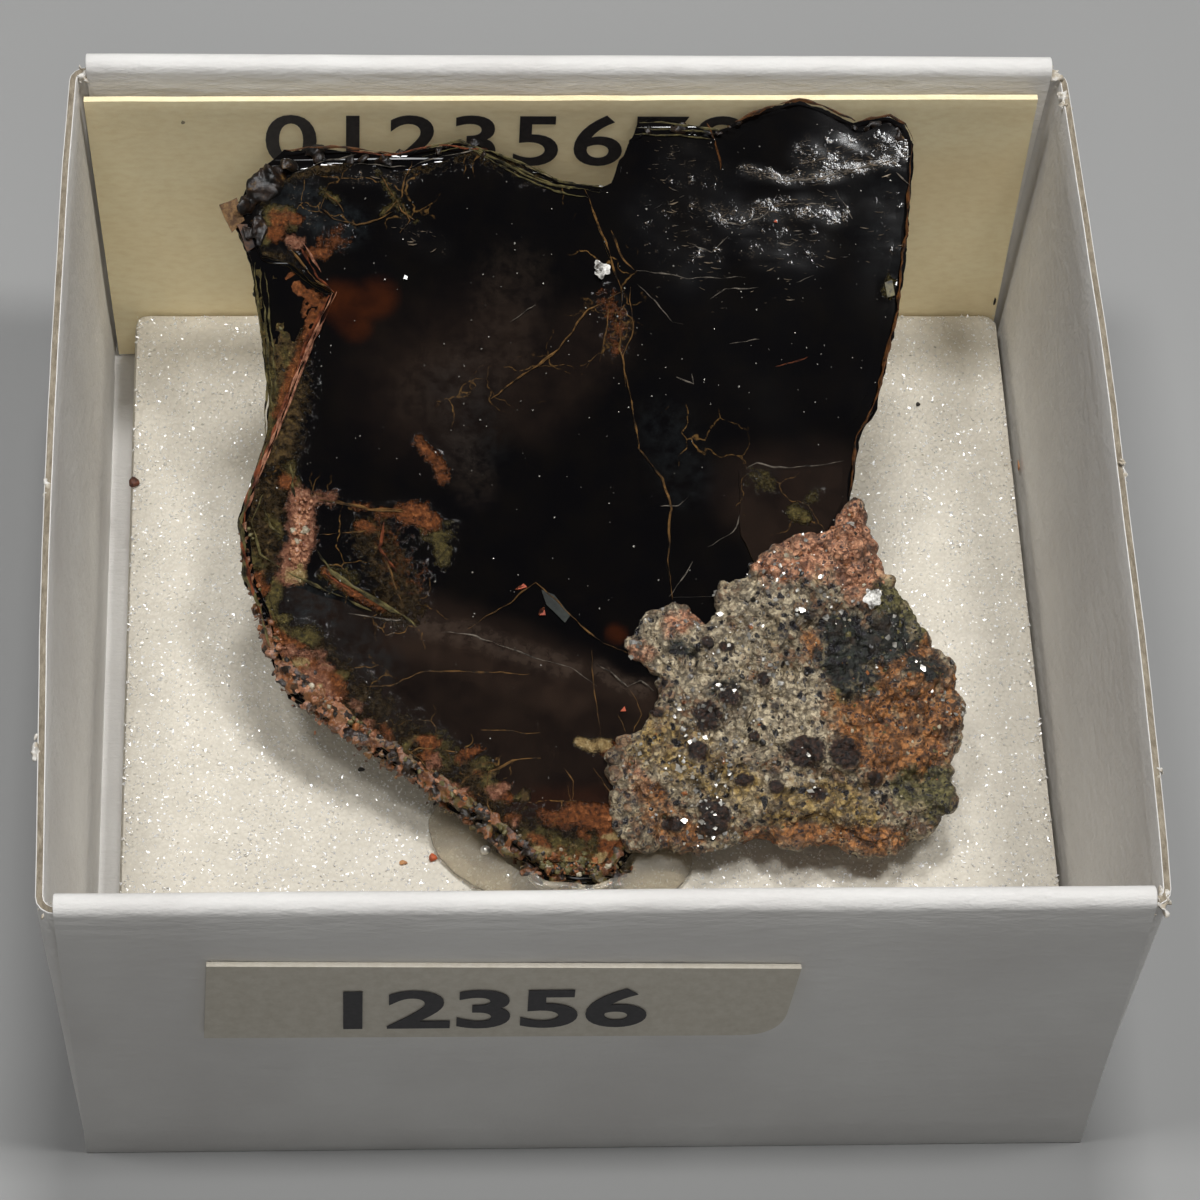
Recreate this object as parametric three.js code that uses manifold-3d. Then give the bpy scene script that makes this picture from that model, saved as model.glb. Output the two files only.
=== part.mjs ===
// A mica crystal with a piece of its host rock, glued by its foot on a foam pad in a small card tray.
// Millimetres, +Z up, +X to the right, +Y to the back of the tray.
// The origin is the middle of the tray's underside.

import * as THREE from 'three';
import { mergeVertices } from 'three/addons/utils/BufferGeometryUtils.js';
import Module from 'manifold-3d';

const wasm = await Module();
wasm.setup();

// Tray: folded from one sheet of card, a little narrower at the foot than at the rim.
const rimSize = 40;
const footWidth = 38.2;
const footDepth = 39.4;
const trayHeight = 18;
const sideHeight = 17.3;
const cardThickness = 0.4;
const rolledWall = 0.95;
const rolledLength = 38.8;
const sideBulge = 0.3;
const cornerRadius = 0.8;
const tuckLength = 3.2;
const tuckInset = 0.25;

// Foam pad, lying on the tray's floor.
const restGap = 0.02;
const foamThickness = 3;
const foamLeft = -17.85;
const foamRight = 18.65;
const foamFront = -18.65;
const foamBack = 18.35;
const foamEdge = 0.2;
const foamTop = cardThickness + foamThickness;

// Label card behind the pad and sticker on the front wall.
const labelBack = 18.72;
const labelThickness = 0.27;
const stickerThickness = 0.2;
const stickerGap = 0.03;
const stickerCorner = 1.6;

// The crystal's front face leans back on its foot. Across and up are measured in that face,
// and a level is a height above it.
const leanAngle = 25;
const footPlace = new THREE.Vector3(0, -10.75, 4.55);
const neighbourGap = 0.3;

// Host rock and glue.
const rockCentre = [8.4, 7.0];
const rockLevel = -0.7;
const rockFront = 1.5;
const rockBack = 2.3;
const rockSegments = 54;
const glueCentre = [-0.7, -9.0];
const glueHeight = 1.5;
const glueSegments = 36;

function fromGeometry(geometry) {
  const bare = geometry.clone();
  bare.deleteAttribute('normal');
  bare.deleteAttribute('uv');
  const merged = mergeVertices(bare, 1e-5);
  const mesh = new wasm.Mesh({
    numProp: 3,
    vertProperties: new Float32Array(merged.getAttribute('position').array),
    triVerts: new Uint32Array(merged.getIndex().array),
  });
  return new wasm.Manifold(mesh);
}

function toGeometry(solid) {
  const mesh = solid.getMesh();
  const geometry = new THREE.BufferGeometry();
  geometry.setAttribute('position', new THREE.BufferAttribute(mesh.vertProperties, 3));
  geometry.setIndex(new THREE.BufferAttribute(mesh.triVerts, 1));
  geometry.computeVertexNormals();
  return geometry;
}

function joinAll(geometries) {
  const solids = geometries.map(fromGeometry);
  return solids.reduce((whole, next) => whole.add(next));
}

function shapeFrom(points) {
  return new THREE.Shape(points.map(([x, y]) => new THREE.Vector2(x, y)));
}

// A flat plate of the given outline between two levels.
function plate(points, low, high) {
  const geometry = new THREE.ExtrudeGeometry(shapeFrom(points), { depth: high - low, bevelEnabled: false });
  geometry.translate(0, 0, low);
  return geometry;
}

// The outline, counter-clockwise, moved outwards by a distance.
function grown(points, distance) {
  const count = points.length;
  return points.map(([x, y], i) => {
    const [beforeX, beforeY] = points[(i + count - 1) % count];
    const [afterX, afterY] = points[(i + 1) % count];
    const along = new THREE.Vector2(afterX - beforeX, afterY - beforeY).normalize();
    return [x + along.y * distance, y - along.x * distance];
  });
}

// Draws in the tray's walls from the rim's size to the foot's.
function flare(geometry) {
  const place = geometry.getAttribute('position');
  for (let i = 0; i < place.count; i += 1) {
    const rise = place.getZ(i) / trayHeight;
    const width = footWidth + (rimSize - footWidth) * rise;
    const depth = footDepth + (rimSize - footDepth) * rise;
    place.setX(i, place.getX(i) * width / rimSize);
    place.setY(i, place.getY(i) * depth / rimSize);
  }
  geometry.computeVertexNormals();
  return geometry;
}

function trayFloor() {
  const half = rimSize / 2;
  const inner = half - cornerRadius;
  const outline = new THREE.Shape();
  outline.absarc(inner, inner, cornerRadius, 0, Math.PI / 2);
  outline.absarc(-inner, inner, cornerRadius, Math.PI / 2, Math.PI);
  outline.absarc(-inner, -inner, cornerRadius, Math.PI, Math.PI * 1.5);
  outline.absarc(inner, -inner, cornerRadius, Math.PI * 1.5, Math.PI * 2);
  return new THREE.ExtrudeGeometry(outline, { depth: cardThickness, bevelEnabled: false, curveSegments: 4 });
}

// A side wall in plan: it bulges outwards a little, turns both corners and is tucked into the rolled walls.
function sideWall() {
  const outer = rimSize / 2;
  const inner = outer - cardThickness;
  const turn = outer - cornerRadius;
  const tuckEnd = turn - tuckLength;
  const tuckOut = outer - tuckInset;
  const tuckIn = tuckOut - cardThickness;
  const outerRadius = tuckOut - turn;
  const innerRadius = outerRadius - cardThickness;
  const outline = new THREE.Shape();
  outline.moveTo(tuckEnd, -tuckOut);
  outline.lineTo(turn, -tuckOut);
  outline.absellipse(turn, -turn, cornerRadius, outerRadius, -Math.PI / 2, 0);
  outline.quadraticCurveTo(outer + 2 * sideBulge, 0, outer, turn);
  outline.absellipse(turn, turn, cornerRadius, outerRadius, 0, Math.PI / 2);
  outline.lineTo(tuckEnd, tuckOut);
  outline.lineTo(tuckEnd, tuckIn);
  outline.lineTo(turn, tuckIn);
  outline.absellipse(turn, turn, cornerRadius - cardThickness, innerRadius, Math.PI / 2, 0, true);
  outline.quadraticCurveTo(inner + 2 * sideBulge, 0, inner, -turn);
  outline.absellipse(turn, -turn, cornerRadius - cardThickness, innerRadius, 0, -Math.PI / 2, true);
  outline.lineTo(tuckEnd, -tuckIn);
  return new THREE.ExtrudeGeometry(outline, { depth: sideHeight, bevelEnabled: false, curveSegments: 10 });
}

// A front or back wall is the card rolled over on itself, so it is double and round along the top.
function rolledWallBar() {
  const radius = rolledWall / 2;
  const outer = rimSize / 2;
  const section = new THREE.Shape();
  section.moveTo(outer - rolledWall, 0);
  section.lineTo(outer, 0);
  section.absarc(outer - radius, trayHeight - radius, radius, 0, Math.PI);
  const geometry = new THREE.ExtrudeGeometry(section, {
    depth: rolledLength, bevelEnabled: false, curveSegments: 8,
  });
  const along = new THREE.Matrix4().makeBasis(
    new THREE.Vector3(0, 1, 0), new THREE.Vector3(0, 0, 1), new THREE.Vector3(1, 0, 0));
  geometry.applyMatrix4(along);
  geometry.translate(-rolledLength / 2, 0, 0);
  return geometry;
}

function cardTray() {
  const turned = new THREE.Matrix4().makeRotationZ(Math.PI);
  const walls = [sideWall(), rolledWallBar()];
  const opposite = walls.map((wall) => wall.clone().applyMatrix4(turned));
  return flare(toGeometry(joinAll([trayFloor(), ...walls, ...opposite])));
}

function foamPad() {
  const outline = shapeFrom([
    [foamLeft, foamFront], [foamRight, foamFront], [foamRight, foamBack], [foamLeft, foamBack]]);
  const geometry = new THREE.ExtrudeGeometry(outline, {
    depth: foamThickness - 2 * foamEdge - restGap,
    bevelSize: foamEdge,
    bevelThickness: foamEdge,
    bevelOffset: -foamEdge,
    bevelSegments: 3,
  });
  geometry.translate(0, 0, cardThickness + restGap + foamEdge);
  return geometry;
}

// Stands an outline drawn in X and Z upright, with its back at the given Y.
function upright(outline, back, thickness) {
  const geometry = new THREE.ExtrudeGeometry(outline, { depth: thickness, bevelEnabled: false });
  const stand = new THREE.Matrix4().makeBasis(
    new THREE.Vector3(1, 0, 0), new THREE.Vector3(0, 0, 1), new THREE.Vector3(0, -1, 0));
  geometry.applyMatrix4(stand);
  geometry.translate(0, back, 0);
  return geometry;
}

function labelCard() {
  const outline = shapeFrom([[-18.65, 0.5], [18.6, 0.5], [18.75, 16.9], [-19.4, 16.6]]);
  return upright(outline, labelBack, labelThickness);
}

// The sticker's lower right corner is cut round.
function frontSticker() {
  const outline = new THREE.Shape();
  outline.moveTo(-14.6, 9.3);
  outline.lineTo(6.85 - stickerCorner, 9.15);
  outline.quadraticCurveTo(6.75, 9.15, 6.9, 9.15 + stickerCorner);
  outline.lineTo(7.1, 14.0);
  outline.lineTo(-14.2, 14.5);
  return flare(upright(outline, -rimSize / 2 - stickerGap, stickerThickness));
}

// The crystal's full outline, from the foot up its right side and down its left. The stretch
// between the foot and the right side is buried in the host rock.
const bookOutline = [
  [0.6, 0.0], [1.2, 0.3], [2.2, 1.8], [3.2, 3.4], [3.4, 5.2], [4.4, 6.8], [4.6, 8.6], [6.2, 9.6],
  [7.4, 10.8], [9.6, 12.2], [10.9, 14.4],
  [10.7, 15.1], [11.1, 17.5], [11.9, 19.1], [12.8, 22.7], [12.9, 23.3], [13.2, 25.1], [13.4, 27.2],
  [13.6, 29.7], [13.2, 30.5], [12.6, 30.8], [11.2, 30.5], [10.2, 31.0], [9.0, 31.4], [7.8, 31.1],
  [5.8, 30.2], [3.2, 30.7], [2.6, 30.5], [1.5, 28.0], [1.2, 27.8], [-0.6, 28.1], [-2.1, 28.8],
  [-4.5, 29.7], [-6.9, 29.1], [-9.6, 29.4], [-11.4, 29.3], [-12.3, 28.6], [-13.2, 27.3],
  [-13.6, 26.9], [-13.3, 26.1], [-12.8, 24.7], [-12.3, 21.9], [-12.0, 19.1], [-12.2, 17.5],
  [-13.2, 14.5], [-13.0, 11.9], [-12.4, 10.8], [-12.0, 9.2], [-11.3, 7.4], [-9.7, 6.4], [-7.8, 5.1],
  [-5.9, 3.7], [-4.0, 2.3], [-2.4, 1.0], [-1.5, 0.2],
];

// The front sheets stop short of the top edge and of a stepped corner on the left.
const faceOutline = [
  [0.5, 0.3], [1.1, 0.6], [2.0, 2.0], [3.0, 3.5], [3.2, 5.3], [4.2, 7.0], [4.4, 8.8], [6.1, 9.8],
  [7.3, 11.0], [9.4, 12.5], [10.6, 14.5],
  [10.5, 15.2], [10.9, 17.6], [11.7, 19.2], [12.6, 22.8], [12.9, 25.2], [13.1, 27.2], [13.3, 29.6],
  [12.6, 30.3], [11.3, 29.9], [10.2, 30.6], [9.0, 31.0], [7.6, 30.5], [6.2, 29.6], [2.9, 30.0],
  [1.7, 27.8], [1.2, 27.5], [-0.6, 27.8], [-2.1, 28.5], [-3.9, 29.4], [-5.3, 28.7], [-6.9, 28.3],
  [-9.0, 28.7], [-10.8, 28.4], [-12.4, 27.1], [-12.8, 26.3], [-12.3, 24.9], [-11.2, 24.6],
  [-10.4, 23.9], [-9.5, 23.4], [-10.8, 20.3], [-11.8, 17.5], [-12.6, 15.5], [-12.9, 14.3],
  [-12.6, 12.0], [-12.1, 10.8], [-11.7, 9.2], [-11.0, 7.7], [-9.5, 6.7], [-7.6, 5.4], [-5.7, 4.0],
  [-3.8, 2.6], [-2.2, 1.3], [-1.4, 0.5],
];

// A thin smoky sheet lies over the lower part of the face.
const lowerSheetOutline = [
  [0.7, 0.8], [1.6, 2.0], [1.8, 3.7], [1.8, 5.4], [2.9, 6.2], [2.3, 7.6], [0.7, 7.6], [-0.8, 8.4],
  [-3.1, 9.4], [-5.5, 9.2], [-7.4, 10.2], [-9.3, 11.1], [-11.2, 11.7], [-12.3, 11.6], [-12.0, 10.8],
  [-11.6, 9.6], [-10.9, 8.0], [-9.6, 7.0], [-8.0, 5.8], [-6.2, 4.5], [-4.3, 3.2], [-2.6, 1.8],
  [-1.3, 0.9],
];

// A sheet to the right of the long crack stands a little prouder than the rest.
const rightSheetOutline = [
  [3.6, 11.2], [5.4, 11.2], [7.2, 12.2], [9.0, 13.6], [10.3, 15.3], [10.6, 17.7], [11.4, 19.3],
  [12.3, 22.8], [12.6, 25.2], [12.8, 27.2], [13.0, 29.4], [12.4, 30.0], [11.3, 29.6], [9.0, 30.6],
  [6.2, 29.3], [3.1, 29.7], [1.9, 27.6], [0.9, 26.0], [1.4, 24.7], [1.8, 23.5], [1.7, 21.1],
  [2.1, 19.1], [2.4, 17.1], [3.3, 15.9], [3.6, 14.7], [3.4, 12.7],
];

// The sheets at the back are smaller, so the crystal is thickest in its middle.
const rearOutline = [
  [0.4, 3.7], [3.0, 5.6], [4.0, 8.2], [8.5, 12.2], [9.6, 15.4], [10.6, 19.6], [11.6, 23.6], [12.0, 28.0],
  [9.0, 29.2], [4.2, 28.2], [1.4, 26.0], [-4.5, 27.4], [-9.5, 27.3], [-11.4, 25.4], [-10.8, 21.5],
  [-10.9, 17.5], [-11.6, 13.6], [-10.6, 9.6], [-6.0, 6.4], [-2.2, 4.1],
];

const crystalSheets = [
  { outline: rearOutline, low: -2.6, high: -1.0 },
  { outline: bookOutline, low: -1.1, high: -0.35 },
  { outline: faceOutline, low: -0.45, high: 0 },
  { outline: lowerSheetOutline, low: -0.1, high: 0.12 },
  { outline: rightSheetOutline, low: -0.1, high: 0.08 },
];

// The stack of sheets as one solid, made larger all round by a margin.
function crystalSolid(margin = 0) {
  return joinAll(crystalSheets.map(({ outline, low, high }) => (
    plate(grown(outline, margin), low - margin, high + margin))));
}

const rockOutline = [
  [2.6, 1.5], [5.3, 1.5], [9.5, 1.7], [11.1, 1.3], [12.2, 1.3], [13.6, 2.0], [14.3, 4.0], [14.7, 6.3],
  [14.6, 7.9], [13.4, 9.7], [12.7, 11.1], [11.7, 12.1], [11.4, 12.7], [11.2, 14.3], [10.8, 15.1],
  [10.3, 14.6], [8.6, 13.3], [7.0, 12.3], [6.0, 11.5], [5.2, 10.5], [2.7, 10.1], [1.7, 9.1],
  [3.0, 8.5], [2.6, 6.0], [1.7, 5.4], [1.6, 3.7], [2.0, 2.4],
];

const glueOutline = [
  [-6.0, -6.9], [-5.9, -8.4], [-5.3, -9.4], [-4.3, -10.2], [-2.4, -11.5], [0.0, -12.0], [2.4, -11.5],
  [4.0, -10.3], [4.5, -9.3], [4.4, -8.4], [2.8, -7.6], [0.2, -6.6], [-2.6, -5.9], [-5.2, -5.8],
];

// Distance from a centre to the outline in one direction.
function reach(outline, centre, angle) {
  const directionX = Math.cos(angle);
  const directionY = Math.sin(angle);
  let farthest = 0;
  outline.forEach(([startX, startY], i) => {
    const [endX, endY] = outline[(i + 1) % outline.length];
    const edgeX = endX - startX;
    const edgeY = endY - startY;
    const across = directionX * edgeY - directionY * edgeX;
    const offsetX = startX - centre[0];
    const offsetY = startY - centre[1];
    const distance = (offsetX * edgeY - offsetY * edgeX) / across;
    const share = (offsetX * directionY - offsetY * directionX) / across;
    if (distance > 0 && share >= -1e-6 && share <= 1 + 1e-6) {
      farthest = Math.max(farthest, distance);
    }
  });
  return farthest;
}

// A cushion-shaped lump: a ball pressed to an outline, with its upper and lower halves given by height.
function lump(outline, centre, squareness, segments, height) {
  const geometry = new THREE.SphereGeometry(1, segments, segments / 3);
  geometry.rotateX(Math.PI / 2);
  const place = geometry.getAttribute('position');
  for (let i = 0; i < place.count; i += 1) {
    const angle = Math.atan2(place.getY(i), place.getX(i));
    const flat = Math.min(1, Math.hypot(place.getX(i), place.getY(i)));
    const distance = reach(outline, centre, angle) * flat ** squareness;
    const x = centre[0] + distance * Math.cos(angle);
    const y = centre[1] + distance * Math.sin(angle);
    place.setXYZ(i, x, y, height(x, y, place.getZ(i)));
  }
  return geometry;
}

// Uneven swellings of the broken rock face.
function swelling(x, y) {
  return 0.13 * Math.sin(1.7 * x + 0.6 * y) + 0.1 * Math.sin(2.3 * y - 0.9 * x + 1)
    + 0.06 * Math.sin(4.1 * x + 2) * Math.sin(3.7 * y);
}

function rockSolid(margin = 0) {
  const lean = THREE.MathUtils.degToRad(leanAngle);
  const height = (x, y, rise) => {
    const steep = Math.sign(rise) * Math.abs(rise) ** 0.8;
    if (steep >= 0) {
      return rockLevel + steep * (rockFront + swelling(x, y) + margin);
    }
    const free = (footPlace.z + y * Math.sin(lean) - foamTop) / Math.cos(lean);
    const depth = Math.min(rockBack, free - neighbourGap + rockLevel);
    return rockLevel + steep * (depth + 0.6 * swelling(y, x) + margin);
  };
  return fromGeometry(lump(grown(rockOutline, margin), rockCentre, 0.42, rockSegments, height));
}

function hostRock() {
  return toGeometry(rockSolid().subtract(crystalSolid(neighbourGap)));
}

// Places something drawn in the crystal's face where the crystal stands.
function leanMatrix() {
  const matrix = new THREE.Matrix4().makeRotationX(THREE.MathUtils.degToRad(leanAngle));
  return matrix.setPosition(footPlace);
}

function glueBead() {
  const bottom = foamTop + restGap;
  const height = (x, y, rise) => bottom + glueHeight * Math.max(0, rise);
  const bead = lump(glueOutline, glueCentre, 0.5, glueSegments, height);
  const standing = [crystalSolid(neighbourGap), rockSolid(neighbourGap)]
    .map((solid) => fromGeometry(toGeometry(solid).applyMatrix4(leanMatrix())));
  return toGeometry(standing.reduce((rest, solid) => rest.subtract(solid), fromGeometry(bead)));
}

function finish(color, roughness, extra = {}) {
  return new THREE.MeshStandardMaterial({ color, roughness, metalness: 0, flatShading: true, ...extra });
}

function piece(name, geometry, material) {
  const mesh = new THREE.Mesh(geometry, material);
  mesh.name = name;
  return mesh;
}

const tray = new THREE.Group();
tray.add(piece('card_tray', cardTray(), finish(0xe6e4e0, 0.8)));
tray.add(piece('foam_pad', foamPad(), finish(0xd6d2c6, 0.9)));
tray.add(piece('label_card', labelCard(), finish(0xc8b48c, 0.8)));
tray.add(piece('front_sticker', frontSticker(), finish(0xcbc6b8, 0.75)));
tray.add(piece('glue_bead', glueBead(), finish(0xd9d4c8, 0.15, { transparent: true, opacity: 0.55 })));

const specimen = new THREE.Group();
specimen.position.copy(footPlace);
specimen.rotation.x = THREE.MathUtils.degToRad(leanAngle);
specimen.add(piece('mica_crystal', toGeometry(crystalSolid()), finish(0x14100d, 0.12)));
specimen.add(piece('host_rock', hostRock(), finish(0x8a7a66, 0.85)));

const group = new THREE.Group();
group.add(tray, specimen);

export default group;
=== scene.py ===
import math
import random

import bmesh
import bpy
import numpy as np
from mathutils import Matrix, Vector, noise


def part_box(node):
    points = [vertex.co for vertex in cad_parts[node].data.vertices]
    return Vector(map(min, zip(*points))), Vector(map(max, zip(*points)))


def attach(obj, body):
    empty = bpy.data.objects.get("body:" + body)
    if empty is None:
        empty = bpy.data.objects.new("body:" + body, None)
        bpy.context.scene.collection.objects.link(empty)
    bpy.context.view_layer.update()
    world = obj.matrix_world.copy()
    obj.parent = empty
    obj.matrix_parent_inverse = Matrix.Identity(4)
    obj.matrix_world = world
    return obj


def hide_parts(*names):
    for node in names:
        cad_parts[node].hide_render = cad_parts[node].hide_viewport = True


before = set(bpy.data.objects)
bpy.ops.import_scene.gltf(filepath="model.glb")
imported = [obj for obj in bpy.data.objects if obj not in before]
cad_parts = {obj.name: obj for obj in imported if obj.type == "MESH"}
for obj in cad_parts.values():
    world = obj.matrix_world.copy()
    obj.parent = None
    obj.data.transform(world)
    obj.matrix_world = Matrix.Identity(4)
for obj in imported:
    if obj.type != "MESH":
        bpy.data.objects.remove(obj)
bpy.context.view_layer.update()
print("frame loaded")

# Pieces are modelled in millimetres and brought to metres when they are finished.
metre = 0.001


# ---- small helpers

def toLinear(code):
    parts = [int(code[i:i + 2], 16) / 255 for i in (1, 3, 5)]
    return [p / 12.92 if p <= 0.04045 else ((p + 0.055) / 1.055) ** 2.4 for p in parts] + [1]


def addNode(tree, kind, inputs, **settings):
    # An input takes another node's output, a hex colour or a plain value.
    node = tree.nodes.new("ShaderNode" + kind)
    for name, value in settings.items():
        setattr(node, name, value)
    for name, value in inputs.items():
        if isinstance(value, bpy.types.NodeSocket):
            tree.links.new(value, node.inputs[name])
        else:
            node.inputs[name].default_value = toLinear(value) if isinstance(value, str) else value
    return node.outputs


def newMaterial(name):
    material = bpy.data.materials.new(name)
    material.use_nodes = True
    material.node_tree.nodes.clear()
    return material, material.node_tree


def setSurface(material, finish, relief=()):
    # Relief is patterns on top of each other, each with its strength and its depth in millimetres.
    tree = material.node_tree
    normal = {}
    for height, strength, depth in relief:
        values = {"Height": height, "Strength": strength, "Distance": depth * metre}
        normal = {"Normal": addNode(tree, "Bump", {**values, **normal})[0]}
    shader = addNode(tree, "BsdfPrincipled", {**finish, **normal})
    addNode(tree, "OutputMaterial", {"Surface": shader[0]})
    return material


def inMillimetres(tree, stretch=(1, 1, 1), turn=0.0, shift=(0, 0, 0)):
    place = addNode(tree, "TexCoord", {})["Object"]
    scale = [share / metre for share in stretch]
    values = {"Vector": place, "Scale": scale, "Rotation": (turn, 0, 0), "Location": shift}
    return addNode(tree, "Mapping", values)[0]


def layColours(tree, ground, coats):
    # Each coat shows where its pattern rises over a span (low, high, and what they come to), or
    # where its mask does if it has no span.
    for pattern, span, tint in coats:
        if span:
            pattern = addNode(tree, "MapRange", dict(enumerate((pattern, *span))))[0]
        ground = addNode(tree, "Mix", {0: pattern, 6: ground, 7: tint}, data_type="RGBA")[2]
    return ground


def cutDown(tree, share, *masks):
    # A share times each mask: an output or a number, or an output with the span it rises over.
    for mask in masks:
        if isinstance(mask, tuple):
            pattern, span = mask
            mask = addNode(tree, "MapRange", dict(enumerate((pattern, *span))))[0]
        share = addNode(tree, "Math", {0: share, 1: mask}, operation="MULTIPLY")[0]
    return share


def bend(tree, vector, scale, reach, detail=3, roughness=0.5):
    # Places pushed about by a noise, so that cells get wavy sides.
    grain = {"Vector": vector, "Scale": scale, "Detail": detail, "Roughness": roughness}
    push = addNode(tree, "TexNoise", grain)[1]
    shift = addNode(tree, "VectorMath", {"Vector": push, "Scale": reach}, operation="SCALE")[0]
    return addNode(tree, "VectorMath", {0: vector, 1: shift}, operation="ADD")[0]


def selectOnly(piece):
    bpy.ops.object.select_all(action="DESELECT")
    piece.select_set(True)
    bpy.context.view_layer.objects.active = piece


def namePiece(name):
    piece = bpy.context.active_object
    piece.name = name
    piece.data.name = name
    return piece


def pickEdges(piece, wanted):
    bpy.ops.mesh.select_mode(type="EDGE")
    bpy.ops.mesh.select_all(action="DESELECT")
    work = bmesh.from_edit_mesh(piece.data)
    for edge in work.edges:
        edge.select_set(all(wanted(v.co) for v in edge.verts))
    bmesh.update_edit_mesh(piece.data)


def extrudeBy(x, y, z):
    bpy.ops.mesh.extrude_region_move(TRANSFORM_OT_translate={"value": (x, y, z)})


def applyModifier(piece, kind, **settings):
    selectOnly(piece)
    modifier = piece.modifiers.new(kind.lower(), kind)
    for name, value in settings.items():
        setattr(modifier, name, value)
    bpy.ops.object.modifier_apply(modifier=modifier.name)


def paintAmount(piece, kind, amounts):
    layer = piece.data.attributes.new(kind, "FLOAT", "POINT")
    layer.data.foreach_set("value", amounts)


def curveToMesh(name, curve):
    piece = bpy.data.objects.new(name, curve)
    bpy.context.collection.objects.link(piece)
    selectOnly(piece)
    bpy.ops.object.convert(target="MESH")
    return bpy.context.active_object


def moveVertices(piece, mover):
    for vertex in piece.data.vertices:
        vertex.co = mover(vertex.co)
    piece.data.update()


def finishPiece(piece, materials, replaced=None, place=None, smooth=35):
    selectOnly(piece)
    bpy.ops.object.transform_apply(location=True, rotation=True, scale=True)
    if place:
        piece.data.transform(place)
    piece.data.transform(Matrix.Scale(metre, 4))
    for index, material in enumerate(materials):
        if index < len(piece.data.materials):
            piece.data.materials[index] = material
        else:
            piece.data.materials.append(material)
    if smooth:
        bpy.ops.object.shade_smooth_by_angle(angle=math.radians(smooth))
    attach(piece, "root")
    if replaced:
        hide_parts(replaced)
    return piece


# ---- camera, floor and lights

view = {
    "place": (-9.5, -102.01, 152.27),   # of the lens, in millimetres
    "turn": -5.792,                     # round the tray, in degrees
    "height": 54.546,
    "tilt": 4.522,
    "lens": 135.58,
}


def makeCamera():
    turn, height, tilt = (math.radians(view[k]) for k in ("turn", "height", "tilt"))
    back = Vector((math.sin(turn) * math.cos(height), -math.cos(turn) * math.cos(height), math.sin(height)))
    right = (-back).cross(Vector((0, 0, 1))).normalized()
    up = right.cross(-back)
    across = right * math.cos(tilt) + up * math.sin(tilt)
    rise = up * math.cos(tilt) - right * math.sin(tilt)
    bpy.ops.object.camera_add()
    camera = bpy.context.active_object
    camera.name = "camera"
    camera.matrix_world = Matrix((across, rise, back)).transposed().to_4x4()
    camera.location = Vector(view["place"]) * metre
    camera.data.lens = view["lens"]
    camera.data.sensor_width = 36
    camera.data.clip_start = 0.01
    camera.data.clip_end = 10
    bpy.context.scene.camera = camera


studio = {
    "floor": "#9C9C9B",
    "sky": "#DADDE2",
    "skyStrength": 0.05,
    "softboxes": {
        "leftSoftbox": {"place": (-0.15, -0.03, 0.56), "size": 0.08, "power": 0.9},
        "rightSoftbox": {"place": (0.17, -0.03, 0.56), "size": 0.08, "power": 1.28},
        "topSoftbox": {"place": (0.01, 0.14, 0.56), "size": 0.08, "power": 1.08},
        "labelFill": {"place": (0, -0.075, 0.105), "size": 0.04, "power": 0.0014,
                      "aim": (0, 0.0185, 0.011), "spread": 36},
    },
}


def addLight(name, place, size, power, aim=(0, 0, 0), spread=180):
    bpy.ops.object.light_add(type="AREA", location=place)
    lamp = bpy.context.active_object
    lamp.name = name
    lamp.data.size = size
    lamp.data.energy = power
    lamp.data.spread = math.radians(spread)
    lamp.rotation_euler = (Vector(place) - Vector(aim)).to_track_quat("Z", "Y").to_euler()


def makeStudio():
    bpy.ops.mesh.primitive_plane_add(size=4)
    floor = namePiece("floor")
    finish = {"Base Color": studio["floor"], "Roughness": 0.7}
    floor.data.materials.append(setSurface(newMaterial("plainPaleFloor")[0], finish))
    world = bpy.data.worlds.new("studio")
    world.use_nodes = True
    sky = world.node_tree.nodes["Background"]
    sky.inputs["Color"].default_value = toLinear(studio["sky"])
    sky.inputs["Strength"].default_value = studio["skyStrength"]
    bpy.context.scene.world = world
    for name, softbox in studio["softboxes"].items():
        addLight(name, **softbox)
    bpy.context.scene.view_settings.view_transform = "Standard"


makeCamera()
makeStudio()
print("camera and studio ready")


# ---- card, foam and paper materials

def whiteCard():
    # White paper-faced card: matt, with a faint felt of fibres that breaks the light.
    material, tree = newMaterial("whitePaperFacedCard")
    place = inMillimetres(tree)
    along = inMillimetres(tree, (0.35, 1, 1))
    felt = addNode(tree, "TexNoise", {"Vector": along, "Scale": 1.6, "Detail": 5, "Roughness": 0.62})[0]
    tooth = addNode(tree, "TexNoise", {"Vector": place, "Scale": 6, "Detail": 3})[0]
    cloud = addNode(tree, "TexNoise", {"Vector": place, "Scale": 0.16, "Detail": 3})[0]
    colour = layColours(tree, "#ECEAE6", [(cloud, (0.35, 0.7), "#E1DEDA")])
    finish = {"Base Color": colour, "Roughness": 0.72, "Specular IOR Level": 0.3}
    return setSurface(material, finish, [(felt, 0.55, 0.16), (tooth, 0.35, 0.03)])


def rawCard():
    # Cut edge of grey-brown pulp board: beige, dull and fibrous, with darker fibres along it.
    material, tree = newMaterial("rawCutBoardEdge")
    along = inMillimetres(tree, (1, 0.3, 1))
    fibre = addNode(tree, "TexNoise", {"Vector": along, "Scale": 5, "Detail": 5, "Roughness": 0.7})[0]
    colour = layColours(tree, "#786D5C", [(fibre, (0.35, 0.68), "#A89D8A")])
    return setSurface(material, {"Base Color": colour, "Roughness": 0.9}, [(fibre, 0.6, 0.1)])


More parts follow.
